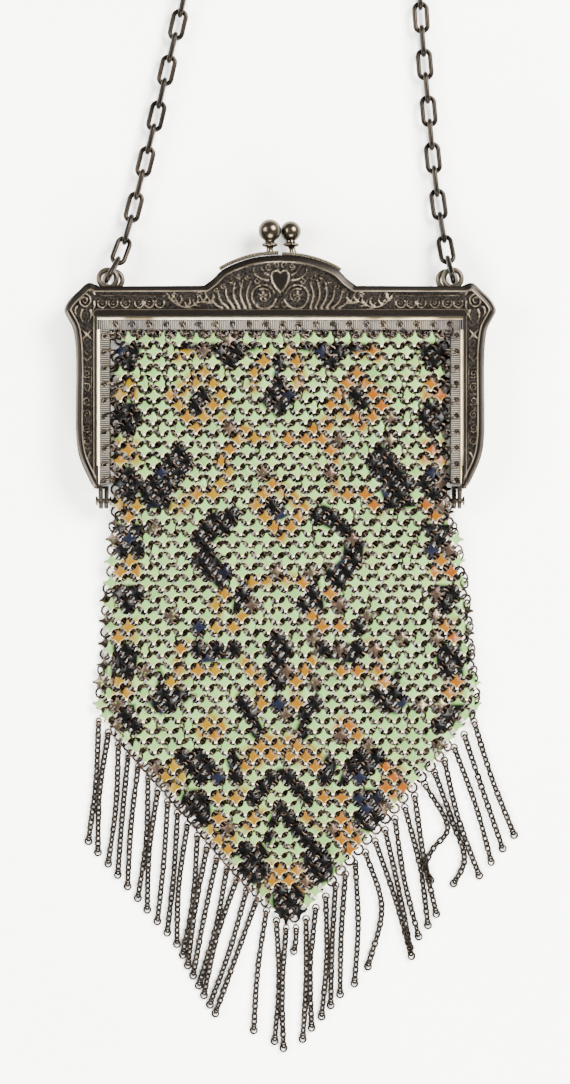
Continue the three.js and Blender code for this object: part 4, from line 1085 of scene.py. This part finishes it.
def lacing_links(back):
    """Oval links through the holes along the top and sides, each leaning its own way."""
    top = columns(TOP_HOLES + 0.15, -3.75)
    flat = np.concatenate([top, columns(-42.75, SIDE_HOLES - 0.1), columns(42.75, SIDE_HOLES - 0.1)])
    leans = np.repeat([-72.0, 12.0, 168.0], [len(top), len(SIDE_HOLES), len(SIDE_HOLES)])
    along = np.radians(leans + 7 * rng.standard_normal(len(flat)))
    roll = np.radians(38 + 12 * rng.standard_normal(len(flat)))
    axis_x = unit(columns(np.cos(along), np.sin(along), 0 * along - 0.12))
    level = unit(np.cross(np.array([0, 0, 1.0]), axis_x))
    axis_y = level * np.cos(roll)[:, None] + np.cross(axis_x, level) * np.sin(roll)[:, None]
    axes = np.stack([axis_x, axis_y, np.cross(axis_x, axis_y)], 1)
    ovals = copies(
        wire_ring(LACE_RADIUS, LACE_WIRE, 14, 6, LACE_STRETCH, 0.9), columns(*flat.T, STRIP_TOP - 0.02),
        axes, bright=0.3 + 0.6 * rng.random(len(flat)),
    )

    row_x = TOP_HOLES[:-1] + HOLE_PITCH_TOP / 2
    turn = rng.standard_normal((3, len(row_x)))
    axes = turned_axes(
        np.broadcast_to(np.eye(3), (len(row_x), 3, 3)), 0.3 * turn[0], 0.25 * turn[1], turn[2],
    )
    row = copies(
        wire_ring(1.1, 0.25, 14, 6), columns(row_x, -5.0, 7.45), axes,
        bright=0.35 + 0.6 * rng.random(len(row_x)),
    )
    return [turned_to_back(shape) for shape in (ovals, row)] if back else [ovals, row]


make_piece("front_lacing", lacing_links(False), ring_look, ["front_mesh"])
make_piece("back_lacing", lacing_links(True), ring_look, ["back_mesh"])

# The fringe: thirty-nine fine cable chains, each hung by a small ring from the edge of the point and
# ending in a slightly larger ring. They lie as they fell, some of them kinked or hooked.
STRAND_COUNT = 39
STRAND_LENGTH = 31.3
LEAN_ROWS = np.array([
    (1, -5), (10, -5), (13, -11.5), (17, -20), (18, -6), (19, -1), (26, -2.5), (28, 1.5), (29, 17.5),
    (30, 12), (33, 10.5), (36, 17), (39, 19.6),
])
BENT_STRANDS = {
    21: [(0.11, 0), (0.22, -0.02)], 28: [(0.45, 0.12), (0.95, -0.01)],
    34: [(0.4, 0.1), (0.52, -0.04), (0.64, -0.13), (0.8, -0.12)],
    35: [(0.45, 0.04), (0.75, 0.05), (0.93, -0.1)],
}


def edge_of_point(outset):
    """The lower edge of the mesh from the left shoulder round the tip, moved out by a distance."""
    rows = PANEL_ROWS[PANEL_ROWS[:, 0] < -100]
    line = np.concatenate([rows[:, [1, 0]], rows[::-1, [2, 0]]])
    before = line - np.concatenate([line[:1], line[:-1]])
    after = np.concatenate([line[1:], line[-1:]]) - line
    before /= np.maximum(np.linalg.norm(before, axis=1), 1e-9)[:, None]
    after /= np.maximum(np.linalg.norm(after, axis=1), 1e-9)[:, None]
    flow = unit(before + after)
    return line + outset * columns(flow[:, 1], -flow[:, 0])


def strand_route(strand, top):
    """The way one strand lies: from its ring at a lean, with its own bend to the side."""
    angle = math.radians(np.interp(strand, LEAN_ROWS[:, 0], LEAN_ROWS[:, 1]))
    bow = 0.9 / STRAND_LENGTH * math.sin(strand * 2.4)
    steps = np.array([(0, 0)] + BENT_STRANDS.get(strand, [(0.5, bow), (1, 0)]), float) * STRAND_LENGTH
    x = top[0] + steps[:, 0] * math.sin(angle) + steps[:, 1] * math.cos(angle)
    y = top[1] - steps[:, 0] * math.cos(angle) + steps[:, 1] * math.sin(angle)
    return smooth_curve(np.stack([x, y], 1), 80)


def evenly_along(line, distances):
    """Places and directions at these distances along a line."""
    length = np.concatenate([[0], np.cumsum(np.linalg.norm(np.diff(line, axis=0), axis=1))])
    behind, place, ahead = (
        columns(*(np.interp(distances + step, length, values) for values in line.T))
        for step in (-0.2, 0, 0.2)
    )
    return place, unit(ahead - behind)


def link_axes(flow, roll):
    """Axes of links that lie along a flow in the plane, each rolled about it by its own angle."""
    flow3 = columns(*flow.T, 0.0)
    level = columns(-flow[:, 1], flow[:, 0], 0 * flow[:, 0])
    axis_y = level * np.cos(roll)[:, None] + np.array([0, 0, 1.0]) * np.sin(roll)[:, None]
    return np.stack([flow3, axis_y, np.cross(flow3, axis_y)], 1)


def fringe_shapes():
    """Every link of the fringe, the ring at the end of each strand and the one at its top."""
    edge = edge_of_point(0.9)
    xs = np.linspace(edge[0, 0] + 0.8, edge[-1, 0] - 0.8, STRAND_COUNT)
    laid = {"link": [], "end": [], "top": []}
    bright = []
    for strand, x in enumerate(xs, start=1):
        route = strand_route(strand, (x, np.interp(x, edge[:, 0], edge[:, 1])))
        total = np.linalg.norm(np.diff(route, axis=0), axis=1).sum()
        count = max(4, int(round((total - 2.2) / 1.26)))
        distances = 1.0 + np.arange(count) * (total - 2.9) / (count - 1)
        roll = np.where(np.arange(count) % 2 == 0, 38, -46) + 7 * rng.standard_normal(count)
        bright.append(0.2 + 0.5 * rng.random(count))
        for kind, where, turn, depth in (
            ("link", distances, roll, 0.84),
            ("end", np.array([total - 0.95]), 12 * rng.standard_normal(1), 0.5),
            ("top", np.array([0.1]), 25 * rng.standard_normal(1), 1.15),
        ):
            place, flow = evenly_along(route, where)
            laid[kind].append((columns(*place.T, depth), link_axes(flow, np.radians(turn))))

    def joined(kind, template, bright):
        places, axes = (np.concatenate(parts) for parts in zip(*laid[kind]))
        return resting(copies(template, places, axes, bright=bright))

    return (
        joined("link", wire_ring(0.7, 0.3, 8, 5, 0.12), np.concatenate(bright)),
        joined("end", wire_ring(0.85, 0.24, 16, 6), np.full(STRAND_COUNT, 0.4)),
        joined("top", wire_ring(0.85, 0.22, 14, 6), 0.5 + 0.5 * rng.random(STRAND_COUNT)),
    )


chain_look = plated_look(
    "bronzed_chain", (130, 3800), ((0.0026, 0.0018, 0.0010, 1), (0.0052, 0.0036, 0.0022, 1)),
    ((0.0125, 0.0084, 0.0050, 1), (0.022, 0.0156, 0.0096, 1)), (0.1, 1.2), (0.24, 0.42), 0.9,
    (0.2, 0.00004),
)

fringe_links, fringe_ends, fringe_tops = fringe_shapes()
make_piece("fringe_strands", [fringe_links, fringe_ends], chain_look, ["fringe"])
make_piece("fringe_rings", [fringe_tops], ring_look, ["fringe"])

# The kiss clasp: two polished balls that snap past each other, each on a ribbed collar and a neck
# that stands on a curved band along the arch of its half.
ARCH_TOP = 14.55
BALL_ABOVE = 6.35
BALL_STAGGER = 1.25
BAND_THICK = 0.9
BAND_WIDTH = 2.8
BAND_GAP = 0.3
BAND_END = 14.7
COLLAR_RIBS = 14


def turned_profile(profile, x, z):
    """
    A profile of radius and height turned about an upright line, with ribs where the third number
    of a row asks for them: there the radius goes in and out once for each rib.
    """
    profile = np.array(profile, float)
    turn = np.linspace(0, 2 * np.pi, 48, endpoint=False)
    radius = profile[:, :1] * (1 + profile[:, 2:3] * np.cos(COLLAR_RIBS * turn)[None, :])
    points = columns(x + radius * np.cos(turn), profile[:, 1:2], z + radius * np.sin(turn))
    return grid_shape(points, bright=0.5)


def clasp_half(side, diameter, depth, band_depth, plain_neck):
    """A ball with its collar and neck, and the band below it that follows the arch."""
    r = diameter / 2
    centre = ARCH_TOP + BALL_ABOVE
    profile = [(0, ARCH_TOP + 0.5, 0), (1.05, ARCH_TOP + 0.5, 0), (0.9, ARCH_TOP + 1.1, 0)]
    top = centre - r - 0.25
    profile += [(0.82, top - 1.5, 0), (0.95, top - 1.1, 0), (1.5, top - 0.95, 0.03)]
    profile += [(1.85, top - 0.7, 0.06), (1.85, top - 0.3, 0.06), (1.5, top - 0.06, 0.03)]
    profile += [(1.25, top + 0.05, 0)]
    for angle in np.radians(np.linspace(-62, 90, 26)):
        profile.append((abs(r * math.cos(angle)), centre + r * math.sin(angle), 0))
    profile[-1] = (0, centre + r, 0)
    ball = turned_profile(profile, side * 2.6, depth)
    if plain_neck:
        low = centre - r
        drop = np.clip(low - ball["points"][:, 1], 0, None)
        ball["points"][:, 0] += 0.16 * drop ** 1.4
    arch = smooth_curve(ARCH, 200)
    spots = np.linspace(0.4, BAND_END, 60)
    line = np.stack([spots, np.interp(spots, arch[:, 0], arch[:, 1])], 1)
    flow = unit(np.gradient(line, axis=0))
    out = columns(-flow[:, 1], flow[:, 0])
    b = 0.16
    section = np.array([
        (0, b), (0, 1 - b), (b, 1), (1 - b, 1), (1, 1 - b), (1, b), (1 - b, 0), (b, 0),
    ])
    across = line[:, None, :] + (BAND_GAP + BAND_THICK * section[:, :1]) * out[:, None, :]
    z = band_depth - BAND_WIDTH / 2 + BAND_WIDTH * section[:, 1]
    points = columns(side * across[..., 0], across[..., 1], z)
    middle = np.repeat(points.mean(1, keepdims=True), len(section), 1)
    band = grid_shape(np.concatenate([middle[:1], points, middle[-1:]]), bright=0.8)
    return [ball, band]


clasp_look = plated_look(
    "clasp_plate", (220, 4600), ((0.013, 0.0098, 0.0066, 1), (0.040, 0.0325, 0.0225, 1)),
    ((0.20, 0.165, 0.11, 1), (0.30, 0.255, 0.18, 1)), (0.45, 0.95), (0.16, 0.32), 0.95, (0.12, 0.00003),
)

clasped = BAND_WIDTH / 2 + 0.3
make_piece(
    "front_clasp_ball", clasp_half(-1, 5.7, MIDDLE + BALL_STAGGER, MIDDLE + clasped, False), clasp_look,
    ["front_clasp"], crease=60,
)
make_piece(
    "back_clasp_ball", clasp_half(1, 5.2, MIDDLE - BALL_STAGGER, MIDDLE - clasped, True), clasp_look,
    ["back_clasp"], crease=60,
)

# The hinge pins: short plain rivets through the tails at the foot of each arm, on which the two
# halves of the frame turn. They are of the same plated metal as the clasp.
for name in ("left_hinge_pin", "right_hinge_pin"):
    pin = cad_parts[name]
    pin.data.materials.clear()
    pin.data.materials.append(clasp_look)

# The carry chain: fifty-one oval links of dark bronzed wire from eye to eye, laid out in a loop above
# the frame, with every other link flat on the table.
LINK_COUNT = 51
LINK_RADIUS = 1.53
LINK_WIRE = 0.62
LINK_REST = 2.15
CHAIN_WELD = 0.12
FIRST_LINK = 3
CHAIN_ROUTE = np.array([
    (-40.8, 13.3, 0.63), (-38.6, 19.8, 0.16), (-36.6, 27.5, 0), (-33.7, 39, 0), (-30.7, 51.4, 0),
    (-28, 63.1, 0), (-25.1, 75.3, 0), (-20.9, 95, 0), (-17, 114, 0), (-9.5, 133.5, 0), (8.2, 143, 0),
    (26, 133.5, 0), (32.6, 114, 0), (34.4, 95, 0), (35.3, 74.8, 0), (36.2, 63.1, 0), (37.3, 50.4, 0),
    (38.4, 38.5, 0), (39.8, 27, 0), (41, 19.4, 0.16), (42.1, 13, 0.63),
])


def carry_links():
    """Links set evenly along the curve through the route, every other one turned flat."""
    route = CHAIN_ROUTE.copy()
    route[:, 2] = LINK_REST + route[:, 2] * (EYE_Z - LINK_REST)
    ends = [(-FRONT_EYE_X, EYE_Y, EYE_Z + EYE_RADIUS / 2), (FRONT_EYE_X, EYE_Y, EYE_Z + EYE_RADIUS / 2)]
    curve = smooth_curve(np.vstack([ends[:1], route, ends[1:]]), 4000)
    total = np.linalg.norm(np.diff(curve, axis=0), axis=1).sum()
    pitch = (total - 2 * FIRST_LINK) / (LINK_COUNT - 1)
    place, flow = evenly_along(curve, FIRST_LINK + np.arange(LINK_COUNT) * pitch)
    place[:, 2] = np.maximum(place[:, 2], LINK_REST)
    level = unit(columns(-flow[:, 1], flow[:, 0], 0 * flow[:, 0]))
    up = np.cross(flow, level)
    lying = (np.arange(LINK_COUNT) % 2 == 1)[:, None]
    axes = np.stack([flow, np.where(lying, level, up), np.where(lying, up, -level)], 1)
    stretch = (pitch - CHAIN_WELD) / 2 - (LINK_RADIUS - LINK_WIRE)
    link = wire_ring(LINK_RADIUS, LINK_WIRE, 36, 14, stretch)
    return copies(link, place, axes, bright=0.15 + 0.5 * rng.random(LINK_COUNT))


make_piece("carry_chain_links", [carry_links()], chain_look, ["carry_chain"])
